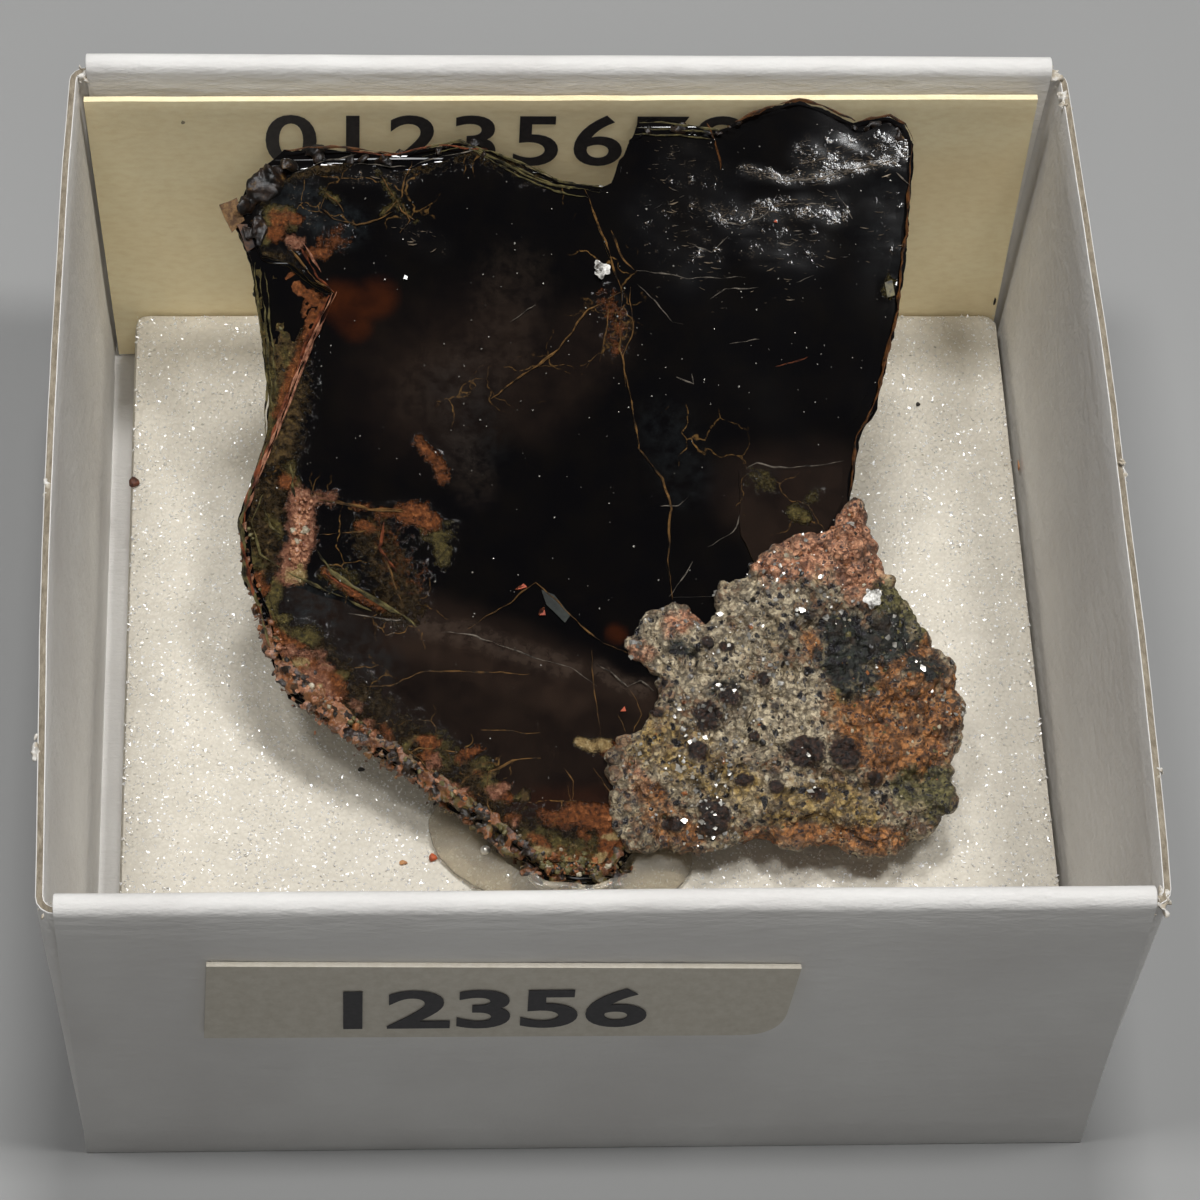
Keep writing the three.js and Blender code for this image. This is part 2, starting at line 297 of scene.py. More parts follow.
def creamCard():
    # Uncoated cream card: dull, with a faint grain of the paper machine.
    material, tree = newMaterial("uncoatedCreamCard")
    place = inMillimetres(tree, (0.5, 1, 1))
    grain = addNode(tree, "TexNoise", {"Vector": place, "Scale": 4, "Detail": 5, "Roughness": 0.6})[0]
    cloud = addNode(tree, "TexNoise", {"Vector": place, "Scale": 0.25, "Detail": 2})[0]
    colour = layColours(tree, "#FFF2CA", [
        (cloud, (0.3, 0.7), "#FBE9BE"),
        (grain, (0.4, 0.7, 0, 0.35), "#E9D2A0"),
    ])
    finish = {"Base Color": colour, "Roughness": 0.8, "Specular IOR Level": 0.25}
    return setSurface(material, finish, [(grain, 0.25, 0.05)])


def stickerPaper():
    # Cream label paper, a little smoother than the card behind it.
    material, tree = newMaterial("creamLabelPaper")
    place = inMillimetres(tree)
    grain = addNode(tree, "TexNoise", {"Vector": place, "Scale": 3, "Detail": 6, "Roughness": 0.65})[0]
    colour = layColours(tree, "#DCD5C6", [(grain, (0.35, 0.7), "#CFC7B6")])
    return setSurface(material, {"Base Color": colour, "Roughness": 0.65}, [(grain, 0.3, 0.05)])


def blackInk():
    # Laser-printed black toner: dark, slightly shiny, with a faint mottle.
    material, tree = newMaterial("blackToner")
    mottle = addNode(tree, "TexNoise", {"Vector": inMillimetres(tree), "Scale": 5, "Detail": 3})[0]
    colour = layColours(tree, "#17141A", [(mottle, (0.4, 0.7), "#2A262A")])
    return setSurface(material, {"Base Color": colour, "Roughness": 0.5})


def cellFoam():
    # Fine-celled polystyrene foam, cut: a pale matt skin of tiny cells, with white dots painted into its
    # colour as the glints of cell walls that catch the light.
    material, tree = newMaterial("fineCellFoam")
    place = inMillimetres(tree)
    cells = addNode(tree, "TexVoronoi", {"Vector": place, "Scale": 5})[0]
    cloud = addNode(tree, "TexNoise", {"Vector": place, "Scale": 0.6, "Detail": 5})[0]
    colour = layColours(tree, "#DDD6C7", [
        (cloud, (0.3, 0.7), "#D0C9BA"),
        (cells, (0.3, 0.7, 0, 0.3), "#BFB8AA"),
    ])
    # Painted glints: white dots laid into the colour where the cut cell walls would sparkle.
    for scale, widest in ((2.1, 0.17), (3.9, 0.22)):
        paintedGlintCells = addNode(tree, "TexVoronoi", {"Vector": place, "Scale": scale})
        pick = addNode(tree, "SeparateColor", {0: paintedGlintCells[1]})[0]
        reach = addNode(tree, "MapRange", {0: pick, 1: 0.45, 2: 1, 3: 0, 4: widest})[0]
        near = addNode(tree, "Math", {0: reach, 1: paintedGlintCells[0]}, operation="SUBTRACT")[0]
        colour = layColours(tree, colour, [(near, (0, 0.06), "#FFFFFF")])
    finish = {"Base Color": colour, "Roughness": 0.55, "Specular IOR Level": 0.5}
    return setSurface(material, finish, [(cells, 0.5, 0.06)])


# ---- tray

trayCard = {
    "half": 20.0,         # half of the rim
    "height": 18.0,
    "sideHeight": 17.3,
    "footWidth": 38.2,
    "footDepth": 39.4,
    "card": 0.31,
    "roll": 0.95,         # thickness of a rolled wall
    "rollNarrowing": 0.9725,
    "cornerStart": 18.95,
    "cornerEnd": 19.245,
    "bulge": 0.3,
    "firstStep": 0.3,     # how far above the floor the corner flaps begin
    "steps": 10,
    "rollSteps": 8,
    "cornerSteps": 4,
    "flap": 3.5,
    "floorMesh": 30,      # squares along the floor
    "softEdge": 0.045,
}


def raiseRolledWall(piece, side):
    t = trayCard
    edge = t["half"] - t["card"] / 2
    radius = (t["roll"] - t["card"]) / 2
    bend = t["height"] - t["roll"] / 2
    rise = (bend - t["card"] / 2) / t["steps"]
    pickEdges(piece, lambda co: side * co.y > edge - 0.01)
    for _ in range(t["steps"]):
        extrudeBy(0, 0, rise)
        narrowing = t["rollNarrowing"] ** (1 / t["steps"])
        bpy.ops.transform.resize(value=(narrowing, 1, 1), center_override=(0, 0, 0))
    for i in range(t["rollSteps"]):
        before = math.pi * i / t["rollSteps"]
        after = math.pi * (i + 1) / t["rollSteps"]
        inward = radius * (math.cos(before) - math.cos(after))
        extrudeBy(0, -side * inward, radius * (math.sin(after) - math.sin(before)))
    fall = (bend - t["card"] - 0.05) / t["steps"]
    for _ in range(t["steps"]):
        extrudeBy(0, 0, -fall)


def raiseSideWall(piece, side):
    t = trayCard
    edge = t["half"] - t["card"] / 2
    rise = (t["sideHeight"] - t["card"] / 2 - t["firstStep"]) / t["steps"]
    pickEdges(piece, lambda co: (
        side * co.x > edge - 0.01 and abs(co.y) < t["cornerStart"] + 0.01 and co.z < 0.2))
    extrudeBy(0, 0, t["firstStep"])
    for _ in range(t["steps"]):
        extrudeBy(0, 0, rise)
    turnX = edge - t["cornerEnd"]
    turnY = t["half"] - t["roll"] / 2 - t["cornerStart"]
    for end in (-1, 1):
        def isEnd(co):
            onEnd = abs(end * co.y - t["cornerStart"]) < 0.01
            return onEnd and side * co.x > edge - 0.01 and co.z > t["card"] / 2 + 0.01
        pickEdges(piece, isEnd)
        for i in range(t["cornerSteps"]):
            before = math.pi / 2 * i / t["cornerSteps"]
            after = math.pi / 2 * (i + 1) / t["cornerSteps"]
            x = turnX * (math.cos(after) - math.cos(before))
            extrudeBy(side * x, end * turnY * (math.sin(after) - math.sin(before)), 0)
        extrudeBy(-side * t["flap"], 0, 0)


def flareWalls(co):
    t = trayCard
    rise = co.z / t["height"]
    width = t["footWidth"] + (2 * t["half"] - t["footWidth"]) * rise
    depth = t["footDepth"] + (2 * t["half"] - t["footDepth"]) * rise
    x = co.x * width / (2 * t["half"])
    y = co.y * depth / (2 * t["half"])
    if abs(co.x) > t["cornerEnd"] + 0.05 and abs(co.y) < t["cornerStart"] + 0.01:
        side = 1 if co.x > 0 else -1
        x += side * t["bulge"] * (1 - (co.y / t["cornerStart"]) ** 2) * rise
    return Vector((x, y, co.z))


def makeTray():
    t = trayCard
    edge = t["half"] - t["card"] / 2
    bpy.ops.object.select_all(action="DESELECT")
    squares = t["floorMesh"]
    bpy.ops.mesh.primitive_grid_add(x_subdivisions=squares, y_subdivisions=squares, size=2 * edge,
                                    location=(0, 0, t["card"] / 2))
    piece = namePiece("tray")
    bpy.ops.object.transform_apply(location=True)
    inner = edge * (1 - 2 / squares)   # the first line in from the rim, where the corners start
    moveVertices(piece, lambda co: Vector((
        co.x, math.copysign(t["cornerStart"], co.y) if abs(abs(co.y) - inner) < 0.2 else co.y, co.z)))
    bpy.ops.object.mode_set(mode="EDIT")
    for side in (-1, 1):
        raiseRolledWall(piece, side)
        raiseSideWall(piece, side)
    bpy.ops.mesh.select_all(action="SELECT")
    bpy.ops.mesh.normals_make_consistent(inside=False)
    bpy.ops.object.mode_set(mode="OBJECT")
    moveVertices(piece, flareWalls)

    def waver(co):
        sway = 0.05 * noise.noise(co * 0.11) + 0.02 * noise.noise(co * 0.45)
        fade = min(1.0, max(0.0, co.z / 4))
        return co + Vector((sway * fade, 0.6 * sway * fade, 0.3 * sway * fade))
    moveVertices(piece, waver)
    piece.data.materials.append(bpy.data.materials.new("face"))
    piece.data.materials.append(bpy.data.materials.new("cut"))
    applyModifier(piece, "SOLIDIFY", thickness=t["card"], offset=0, use_even_offset=True,
                  material_offset_rim=1)
    applyModifier(piece, "BEVEL", width=t["softEdge"], segments=2, limit_method="ANGLE",
                  angle_limit=math.radians(60), material=0)
    finishPiece(piece, [whiteCard(), rawCard()], "card_tray")


makeTray()
print("tray folded")


# ---- foam pad

foam = {"edge": 0.25, "cell": 0.3, "swell": 0.05}


def makeFoam():
    low, high = (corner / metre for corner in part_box("foam_pad"))
    size = high - low
    bpy.ops.object.select_all(action="DESELECT")
    bpy.ops.mesh.primitive_cube_add(size=1, location=(low + high) / 2, scale=size)
    piece = namePiece("foamPad")
    bpy.ops.object.transform_apply(location=True, scale=True)
    applyModifier(piece, "BEVEL", width=foam["edge"], segments=3)
    applyModifier(piece, "REMESH", mode="VOXEL", voxel_size=foam["cell"], use_smooth_shade=True)

    def lift(co):
        fade = min(1.0, max(0.0, (co.z - low.z - 0.5) / 1.5))
        return co + Vector((0, 0, -foam["swell"] * fade * (0.5 + noise.noise(co * 0.9))))
    moveVertices(piece, lift)
    finishPiece(piece, [cellFoam()], "foam_pad")


makeFoam()
print("foam pad cut")


# ---- label card and sticker

label = {"digits": "012356789", "left": -12.3, "foot": 12.9, "height": 2.9, "boldness": 0.035,
         "widen": 1.05, "spacing": 1.12}
sticker = {"digits": "12356", "left": -10.1, "foot": 10.05, "height": 2.55, "boldness": 0.07,
           "widen": 1.28, "spacing": 1.0}
capHeight = 0.69   # of the built-in typeface, as a share of its size


def printDigits(name, front, lean, digits, left, foot, height, boldness, widen, spacing):
    bpy.ops.object.select_all(action="DESELECT")
    bpy.ops.object.text_add()
    piece = bpy.context.active_object
    piece.name = name
    piece.data.body = digits
    piece.data.size = height / capHeight
    piece.data.offset = boldness * height / 2
    piece.data.extrude = 0.01
    piece.data.space_character = spacing
    piece.data.resolution_u = 6
    bpy.ops.object.convert(target="MESH")
    stand = Matrix.Rotation(math.radians(90), 4, "X")
    stretch = Matrix.Diagonal((widen, 1, 1, 1))
    tilt = Matrix.Rotation(lean, 4, "X")
    piece.data.transform(Matrix.Translation((left, front, foot)) @ tilt @ stand @ stretch)
    return piece


def makeLabel():
    low, high = (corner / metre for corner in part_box("label_card"))
    bpy.ops.object.select_all(action="DESELECT")
    bpy.ops.mesh.primitive_cube_add(size=1, location=(low + high) / 2, scale=high - low)
    piece = namePiece("labelCard")
    bpy.ops.object.transform_apply(location=True, scale=True)
    moveVertices(piece, lambda co: Vector((
        co.x + (0.75 if co.x < 0 and co.z < 5 else 0) - (0.15 if co.x > 0 and co.z < 5 else 0),
        co.y,
        co.z - (0.3 if co.x < 0 and co.z > 5 else 0))))
    bpy.ops.object.mode_set(mode="EDIT")
    bpy.ops.mesh.select_all(action="SELECT")
    bpy.ops.mesh.subdivide(number_cuts=20)
    bpy.ops.object.mode_set(mode="OBJECT")
    moveVertices(piece, lambda co: co + Vector((
        0, -0.02 * abs(noise.noise(Vector((co.x, 0, co.z)) * 0.12)), 0.04 * noise.noise(co * 0.5))))
    applyModifier(piece, "BEVEL", width=0.09, segments=3, limit_method="ANGLE", angle_limit=math.radians(50))
    finishPiece(piece, [creamCard()], "label_card")
    ink = printDigits("labelDigits", low.y - 0.03, 0, **label)
    finishPiece(ink, [blackInk()], smooth=0)


def makeSticker():
    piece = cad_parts["front_sticker"]
    front = (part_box("front_sticker")[0] / metre).y
    lean = math.atan((2 * trayCard["half"] - trayCard["footDepth"]) / 2 / trayCard["height"])
    piece.data.materials.clear()
    piece.data.materials.append(stickerPaper())
    ink = printDigits("stickerDigits", front + 0.035, lean, **sticker)
    finishPiece(ink, [blackInk()], smooth=0)


makeLabel()
makeSticker()
print("labels printed")


# ---- crystal: how it stands, and drawing in its face
# Across (u) and up (v) are measured in the crystal's front face, in millimetres. A level is a height
# above that face.

crystal = {
    "lean": 25,                    # the face's slope, in degrees
    "foot": (0, -10.75, 4.55),
    "cell": 0.17,                  # mesh size of the front sheets
    "roll": 0.1,                   # long waves of the face
    "ripple": 0.022,
}
faceTurn = Matrix.Rotation(math.radians(crystal["lean"]), 4, "X")
faceStand = Matrix.Translation(crystal["foot"]) @ faceTurn

bookOutline = [
    (0.6, 0.0), (1.2, 0.3), (2.2, 1.8), (3.2, 3.4), (3.4, 5.2), (4.4, 6.8), (4.6, 8.6), (6.2, 9.6),
    (7.4, 10.8), (9.6, 12.2), (10.9, 14.4), (10.7, 15.1), (11.1, 17.5), (11.9, 19.1), (12.8, 22.7),
    (12.9, 23.3), (13.2, 25.1), (13.4, 27.2), (13.6, 29.7), (13.2, 30.5), (12.6, 30.8), (11.2, 30.5),
    (10.2, 31.0), (9.0, 31.4), (7.8, 31.1), (5.8, 30.2), (3.2, 30.7), (2.6, 30.5), (1.5, 28.0),
    (1.2, 27.8), (-0.6, 28.1), (-2.1, 28.8), (-4.5, 29.7), (-6.9, 29.1), (-9.6, 29.4), (-11.4, 29.3),
    (-12.3, 28.6), (-13.2, 27.3), (-13.6, 26.9), (-13.3, 26.1), (-12.8, 24.7), (-12.3, 21.9),
    (-12.0, 19.1), (-12.2, 17.5), (-13.2, 14.5), (-13.0, 11.9), (-12.4, 10.8), (-12.0, 9.2),
    (-11.3, 7.4), (-9.7, 6.4), (-7.8, 5.1), (-5.9, 3.7), (-4.0, 2.3), (-2.4, 1.0), (-1.5, 0.2),
]
faceOutline = [
    (0.5, 0.3), (1.1, 0.6), (2.0, 2.0), (3.0, 3.5), (3.2, 5.3), (4.2, 7.0), (4.4, 8.8), (6.1, 9.8),
    (7.3, 11.0), (9.4, 12.5), (10.6, 14.5), (10.5, 15.2), (10.9, 17.6), (11.7, 19.2), (12.6, 22.8),
    (12.9, 25.2), (13.1, 27.2), (13.3, 29.6), (12.6, 30.3), (11.3, 29.9), (10.2, 30.6), (9.0, 31.0),
    (7.6, 30.5), (6.2, 29.6), (2.9, 30.0), (1.7, 27.8), (1.2, 27.5), (-0.6, 27.8), (-2.1, 28.5),
    (-3.9, 29.4), (-5.3, 28.7), (-6.9, 28.3), (-9.0, 28.7), (-10.8, 28.4), (-12.4, 27.1),
    (-12.8, 26.3), (-12.3, 24.9), (-11.2, 24.6), (-10.4, 23.9), (-9.5, 23.4), (-10.8, 20.3),
    (-11.8, 17.5), (-12.6, 15.5), (-12.9, 14.3), (-12.6, 12.0), (-12.1, 10.8), (-11.7, 9.2),
    (-11.0, 7.7), (-9.5, 6.7), (-7.6, 5.4), (-5.7, 4.0), (-3.8, 2.6), (-2.2, 1.3), (-1.4, 0.5),
]
lowerSheetOutline = [
    (0.7, 0.8), (1.6, 2.0), (1.8, 3.7), (1.8, 5.4), (2.8, 6.5), (2.8, 7.4), (2.3, 7.8), (1.8, 7.5),
    (1.2, 8.1), (0.6, 8.5), (0.4, 7.8), (-0.4, 8.4), (-1.8, 8.8), (-3.2, 9.3), (-4.2, 9.7), (-5.4, 9.8),
    (-6.8, 10.3), (-8.0, 10.4), (-9.3, 11.1), (-11.2, 11.7), (-12.1, 11.5), (-11.9, 10.8), (-11.5, 9.6),
    (-10.8, 8.1), (-9.5, 7.1), (-7.9, 5.9), (-6.1, 4.6), (-4.2, 3.3), (-2.5, 1.9), (-1.2, 0.9),
]
rightSheetOutline = [
    (3.6, 11.2), (5.4, 11.2), (7.2, 12.2), (9.0, 13.6), (10.3, 15.3), (10.6, 17.7), (11.4, 19.3),
    (12.3, 22.8), (12.6, 25.2), (12.8, 27.2), (13.0, 29.4), (12.4, 30.0), (11.3, 29.6), (9.0, 30.6),
    (6.2, 29.3), (3.1, 29.7), (1.9, 27.6), (0.9, 26.0), (1.4, 24.7), (1.8, 23.5), (1.7, 21.1),
    (2.1, 19.1), (2.4, 17.1), (3.3, 15.9), (3.6, 14.7), (3.4, 12.7),
]
rearOutline = [
    (0.4, 3.7), (3.0, 5.6), (4.0, 8.2), (8.5, 12.2), (9.6, 15.4), (10.6, 19.6), (11.6, 23.6),
    (12.0, 28.0), (9.0, 29.2), (4.2, 28.2), (1.4, 26.0), (-4.5, 27.4), (-9.5, 27.3), (-11.4, 25.4),
    (-10.8, 21.5), (-10.9, 17.5), (-11.6, 13.6), (-10.6, 9.6), (-6.0, 6.4), (-2.2, 4.1),
]
thinSheetOutline = [
    (6.3, 16.3), (8.4, 16.2), (10.35, 16.4), (10.3, 14.9), (9.6, 13.7), (8.2, 12.9), (7.0, 12.3), (6.3, 13.6),
]
notchOutline = [
    (-9.2, 23.3), (-10.4, 24.1), (-11.3, 24.8), (-12.75, 24.9), (-12.45, 22.3), (-12.05, 19.2),
    (-12.2, 17.6), (-13.05, 14.9), (-12.3, 15.3), (-11.5, 17.4), (-10.5, 20.2),
]

# Stains and veils on the face: half width, strength, and the line each follows.
stains = {
    "rust": [
        (0.32, 1.0, [(-11.3, 24.2), (-10.8, 23.5), (-10.3, 23.3), (-10.5, 22.9), (-10.5, 22.5)]),
        (0.24, 0.9, [(-9.9, 23.1), (-10.6, 21.8), (-11.1, 20.4), (-11.7, 18.6)]),
        (0.45, 0.9, [(-11.8, 25.8), (-11.6, 26.2)]),
        (0.5, 0.5, [(-9.4, 25.7), (-9.2, 25.5), (-9.8, 25.3)]),
        (0.35, 0.8, [(-11.5, 15.8), (-11.3, 15.9)]),
        (0.5, 1.0, [(-6.7, 14.6), (-6.1, 14.5), (-5.8, 14.2)]),
        (0.2, 0.7, [(-8.8, 14.9), (-7.6, 14.6), (-6.6, 14.6)]),
        (0.9, 0.3, [(-7.4, 14.0), (-7.2, 13.0), (-6.6, 12.0)]),
        (0.3, 0.8, [(-8.5, 14.0), (-8.1, 13.9)]),
        (0.22, 0.8, [(-9.9, 12.2), (-9.1, 11.6), (-8.4, 11.2), (-7.6, 10.8)]),
        (0.5, 0.9, [(-12.0, 9.8), (-11.5, 9.4)]),
        (0.6, 0.8, [(-11.4, 8.5), (-10.6, 8.5), (-9.8, 8.0), (-9.5, 7.4)]),
        (0.6, 0.95, [(-0.3, 2.7), (0.6, 2.6), (1.2, 2.3), (1.0, 1.5), (1.1, 0.8)]),
        (0.45, 0.9, [(1.1, 5.2), (1.6, 4.6), (1.6, 3.8), (1.9, 3.2)]),
        (0.4, 0.6, [(-1.6, 2.6), (-0.6, 2.5)]),
        (0.8, 0.5, [(-1.2, 0.8), (0.3, 0.6)]),
        (0.35, 0.8, [(-12.6, 11.5), (-12.5, 12.1)]),
        (0.3, 0.8, [(-6.2, 17.4), (-5.4, 16.4), (-5.3, 15.9)]),
        (0.5, 0.42, [(1.2, 23.2), (1.6, 22.2), (1.5, 21.2)]),
    ],
    "olive": [
        (0.45, 0.9, [(-11.9, 26.6), (-11.3, 26.5)]),
        (0.45, 0.75, [(-12.6, 24.2), (-12.4, 22.2), (-12.05, 19.9), (-12.1, 18.0)]),
        (0.3, 0.5, [(-11.9, 24.5), (-11.6, 22.5), (-11.4, 20.6)]),
        (0.2, 0.8, [(-9.9, 27.5), (-9.4, 27.1)]),
        (0.16, 0.62, [(-7.7, 28.2), (-7.2, 27.4), (-7.0, 27.1), (-7.6, 26.6)]),
        (0.16, 0.62, [(-7.0, 27.1), (-6.8, 26.7), (-6.3, 26.3)]),
        (0.36, 0.9, [(-5.5, 13.6), (-5.3, 13.1), (-5.3, 12.7)]),
        (0.5, 0.4, [(-5.9, 13.7), (-5.1, 13.8)]),
        (0.45, 0.9, [(-11.0, 9.6), (-10.4, 9.7)]),
        (0.28, 0.95, [(-11.7, 11.9), (-12.0, 10.9), (-12.1, 10.2)]),
        (0.6, 0.5, [(-9.6, 12.0), (-9.0, 11.9)]),
        (0.25, 0.9, [(-9.4, 8.2), (-9.2, 8.2)]),
        (0.3, 0.6, [(-12.0, 14.4), (-11.6, 13.8)]),
        (0.35, 0.7, [(-11.2, 16.4), (-11.1, 15.6)]),
        (0.6, 0.5, [(-5.6, 5.6), (-5.0, 4.9)]),
        (0.7, 0.7, [(-1.6, 1.7), (-0.5, 1.2), (0.5, 1.3)]),
        (0.35, 0.75, [(8.4, 14.6), (8.8, 14.3)]),
        (0.3, 0.5, [(9.2, 15.3), (9.0, 14.9)]),
        (0.3, 0.7, [(12.4, 23.8), (12.3, 23.4)]),
        (0.5, 0.5, [(6.9, 16.0), (7.4, 15.7)]),
        (0.5, 0.4, [(-13.0, 14.0), (-12.9, 12.4)]),
    ],
    "salmon": [
        (0.3, 1.0, [(-11.2, 25.5), (-10.9, 25.4)]),
        (0.62, 1.0, [(-10.8, 15.1), (-10.8, 14.2), (-10.8, 13.4), (-11.1, 12.7), (-11.2, 12.2)]),
        (0.4, 0.6, [(-10.2, 15.2), (-9.6, 15.1)]),
        (0.5, 0.9, [(-11.3, 7.9), (-10.6, 8.2), (-10.0, 7.6), (-9.8, 7.0)]),
    ],
    "pale": [
        (0.2, 1.0, [(-10.9, 12.5), (-10.9, 12.1)]),
        (0.28, 0.9, [(-11.3, 12.1), (-10.8, 12.05)]),
        (0.25, 1.0, [(-0.1, 5.5), (0.4, 5.35), (1.0, 5.4)]),
    ],
    # Smoky brown veil between sheets, partly painted sheen: on the lower sheets it stands in for a soft milky
    # reflection.
    "veilAndSheen": [
        (1.6, 0.75, [(-6.8, 10.0), (-4.4, 9.2), (-2.4, 8.4), (-0.6, 7.6)]),
        (0.7, 0.5, [(-5.4, 9.7), (-4.2, 9.6), (-3.2, 9.2), (-1.8, 8.7), (-0.4, 8.3)]),
        (0.8, 0.7, [(0.7, 7.9), (1.6, 7.2), (2.4, 7.2)]),
        (3.2, 0.35, [(-5.8, 19.6), (-3.4, 20.8)]),
        (1.8, 0.3, [(-1.8, 19.0), (0.4, 21.4)]),
        (1.8, 0.45, [(6.9, 15.4), (9.6, 15.6), (8.4, 13.9)]),
        (1.5, 0.25, [(-2.4, 5.9), (0.2, 4.4)]),
    ],
    # Paler grey-brown haze, mostly along the lower sheet's step edge: partly painted sheen on that edge,
    # partly faint mottling.
    "hazeAndSheen": [
        (0.5, 0.5, [(-7.0, 10.4), (-5.4, 9.9), (-4.2, 9.75), (-3.2, 9.35), (-1.8, 8.85), (-0.4, 8.45)]),
        (0.35, 0.6, [(0.7, 8.4), (1.4, 7.8), (2.4, 7.6)]),
        (1.5, 0.13, [(-5.8, 19.4), (-3.0, 20.9), (-2.4, 24.0)]),
        (0.9, 0.16, [(-4.6, 17.2), (-4.0, 15.6)]),
    ],
    "slate": [
        (0.9, 0.7, [(-10.9, 27.3), (-10.0, 26.5), (-9.0, 26.1)]),
        (1.1, 0.75, [(-11.4, 11.3), (-10.5, 10.8), (-9.9, 10.7)]),
        (1.0, 0.45, [(-8.6, 9.4), (-7.8, 8.6)]),
        (0.5, 0.6, [(-12.0, 13.3), (-11.7, 13.5)]),
        (1.4, 0.2, [(12.5, 27.4), (12.3, 25.2)]),
        (1.4, 0.2, [(-4.6, 19.6), (-4.0, 17.4)]),
        (1.2, 0.25, [(3.4, 18.0), (4.2, 15.8)]),
    ],
    "amber": [
        (0.8, 0.85, [(-9.4, 23.1), (-8.4, 23.0), (-7.8, 23.2)]),
        (0.6, 0.7, [(-9.2, 22.6), (-8.6, 22.0)]),
        (0.35, 0.7, [(1.3, 9.8), (1.5, 9.7)]),
        (0.8, 0.3, [(-2.2, 3.0), (0.6, 3.1)]),
    ],
    "crumple": [
        (1.0, 0.4, [(9.4, 28.9), (11.0, 29.1), (13.3, 29.3)]),
        (0.34, 0.55, [(6.8, 28.4), (8.4, 27.95), (9.9, 28.1), (11.4, 28.5), (13.4, 29.0)]),
        (0.7, 0.4, [(5.4, 26.7), (6.6, 26.3), (7.7, 26.7), (9.2, 26.8), (10.3, 26.6)]),
        (1.5, 0.26, [(4.4, 28.6), (5.4, 27.2), (5.0, 25.2)]),
        (1.1, 0.26, [(7.0, 25.3), (9.4, 25.2)]),
        (0.9, 0.22, [(12.4, 27.0), (12.4, 25.4)]),
        (1.4, 0.22, [(3.2, 26.6), (4.0, 24.6)]),
        (0.5, 0.3, [(-9.2, 28.2), (-6.6, 27.9)]),
        (0.9, 0.26, [(-11.4, 27.4), (-10.4, 26.2)]),
        (0.7, 0.24, [(-6.8, 26.0), (-5.4, 25.2)]),
    ],
    "web": [
        (1.6, 0.8, [(-10.2, 14.4), (-8.4, 12.6), (-6.6, 10.6)]),
        (1.2, 0.85, [(-9.4, 8.4), (-6.6, 6.0), (-3.4, 4.0), (-1.0, 2.6)]),
        (0.9, 0.7, [(-12.2, 23.6), (-11.6, 19.6), (-12.2, 15.0)]),
        (1.3, 0.7, [(-12.2, 26.8), (-9.6, 27.4), (-6.6, 27.4)]),
        (0.8, 0.6, [(-6.4, 28.6), (-3.4, 28.9), (-0.8, 27.6)]),
        (1.3, 0.62, [(0.9, 25.4), (1.6, 22.4), (0.6, 21.6)]),
        (1.6, 0.55, [(4.6, 17.6), (6.6, 16.6), (8.6, 14.6)]),
        (1.2, 0.5, [(-4.6, 19.0), (-2.6, 19.6), (0.4, 21.6)]),
    ],
    "mottle": [
        (1.3, 0.8, [(-12.1, 24.0), (-11.7, 21.5), (-11.6, 19.4), (-12.0, 17.4)]),
        (1.1, 0.5, [(-8.0, 13.6), (-7.2, 12.0), (-6.9, 10.9)]),
        (0.9, 0.6, [(-12.1, 15.4), (-12.3, 12.6)]),
        (1.1, 0.42, [(-10.6, 9.2), (-9.2, 7.6), (-6.6, 5.6), (-3.8, 3.2), (-1.6, 1.4), (0.6, 1.2)]),
        (0.7, 0.7, [(-12.6, 27.4), (-11.6, 28.4), (-9.4, 28.9)]),
        (0.7, 0.4, [(-6.6, 28.6), (-3.9, 29.4), (-1.4, 28.3)]),
    ],
}


# Small patches of mixed mineral along the edges: spread, count, kinds, and the line they follow.
patchLines = [
    (0.5, 34, ("salmon", "salmon", "rust", "mottle", "pale"), [(-11.6, 8.7), (-10.8, 8.1), (-9.7, 6.9)]),
    (0.34, 44, ("salmon", "salmon", "rust", "olive"), [(-9.6, 6.8), (-7.7, 5.4), (-5.8, 4.0), (-3.9, 2.6)]),
    (0.5, 30, ("rust", "olive", "mottle", "salmon"), [(-7.2, 6.4), (-5.2, 4.8), (-3.4, 3.4), (-1.8, 2.3)]),
    (0.5, 30, ("olive", "mottle", "rust", "pale"), [(-3.2, 2.3), (-1.4, 0.9), (0.8, 0.9), (1.4, 2.2)]),
    (0.3, 16, ("rust", "olive", "mottle"), [(-12.7, 12.6), (-12.1, 10.4), (-11.6, 9.3)]),
    (0.35, 8, ("rust", "olive", "olive"), [(-12.2, 26.8), (-11.2, 25.8), (-10.4, 25.0)]),
]


def alongLine(line, spread, dice):
    leg = dice.randrange(len(line) - 1)
    share = dice.random()
    u = line[leg][0] + share * (line[leg + 1][0] - line[leg][0]) + dice.gauss(0, spread)
    v = line[leg][1] + share * (line[leg + 1][1] - line[leg][1]) + dice.gauss(0, spread)
    return u, v


def layPatches():
    dice = random.Random(43)
    for spread, count, kinds, line in patchLines:
        for _ in range(count):
            u, v = alongLine(line, spread, dice)
            heading = dice.gauss(-0.6, 0.8)
            length = dice.uniform(0.05, 0.7)
            end = (u + length * math.cos(heading), v + length * math.sin(heading))
            stains[dice.choice(kinds)].append((dice.uniform(0.12, 0.3), dice.uniform(0.6, 1), [(u, v), end]))


layPatches()


def awayFrom(places, line):
    best = np.full(len(places), 1e9)
    nearest = np.array(places, float)
    for start, end in zip(line, line[1:]):
        start = np.array(start, float)
        along = np.array(end, float) - start
        share = np.clip((places - start) @ along / max(along @ along, 1e-12), 0, 1)
        foot = start + share[:, None] * along
        distance = np.linalg.norm(places - foot, axis=1)
        closer = distance < best
        best[closer] = distance[closer]
        nearest[closer] = foot[closer]
    return best, nearest


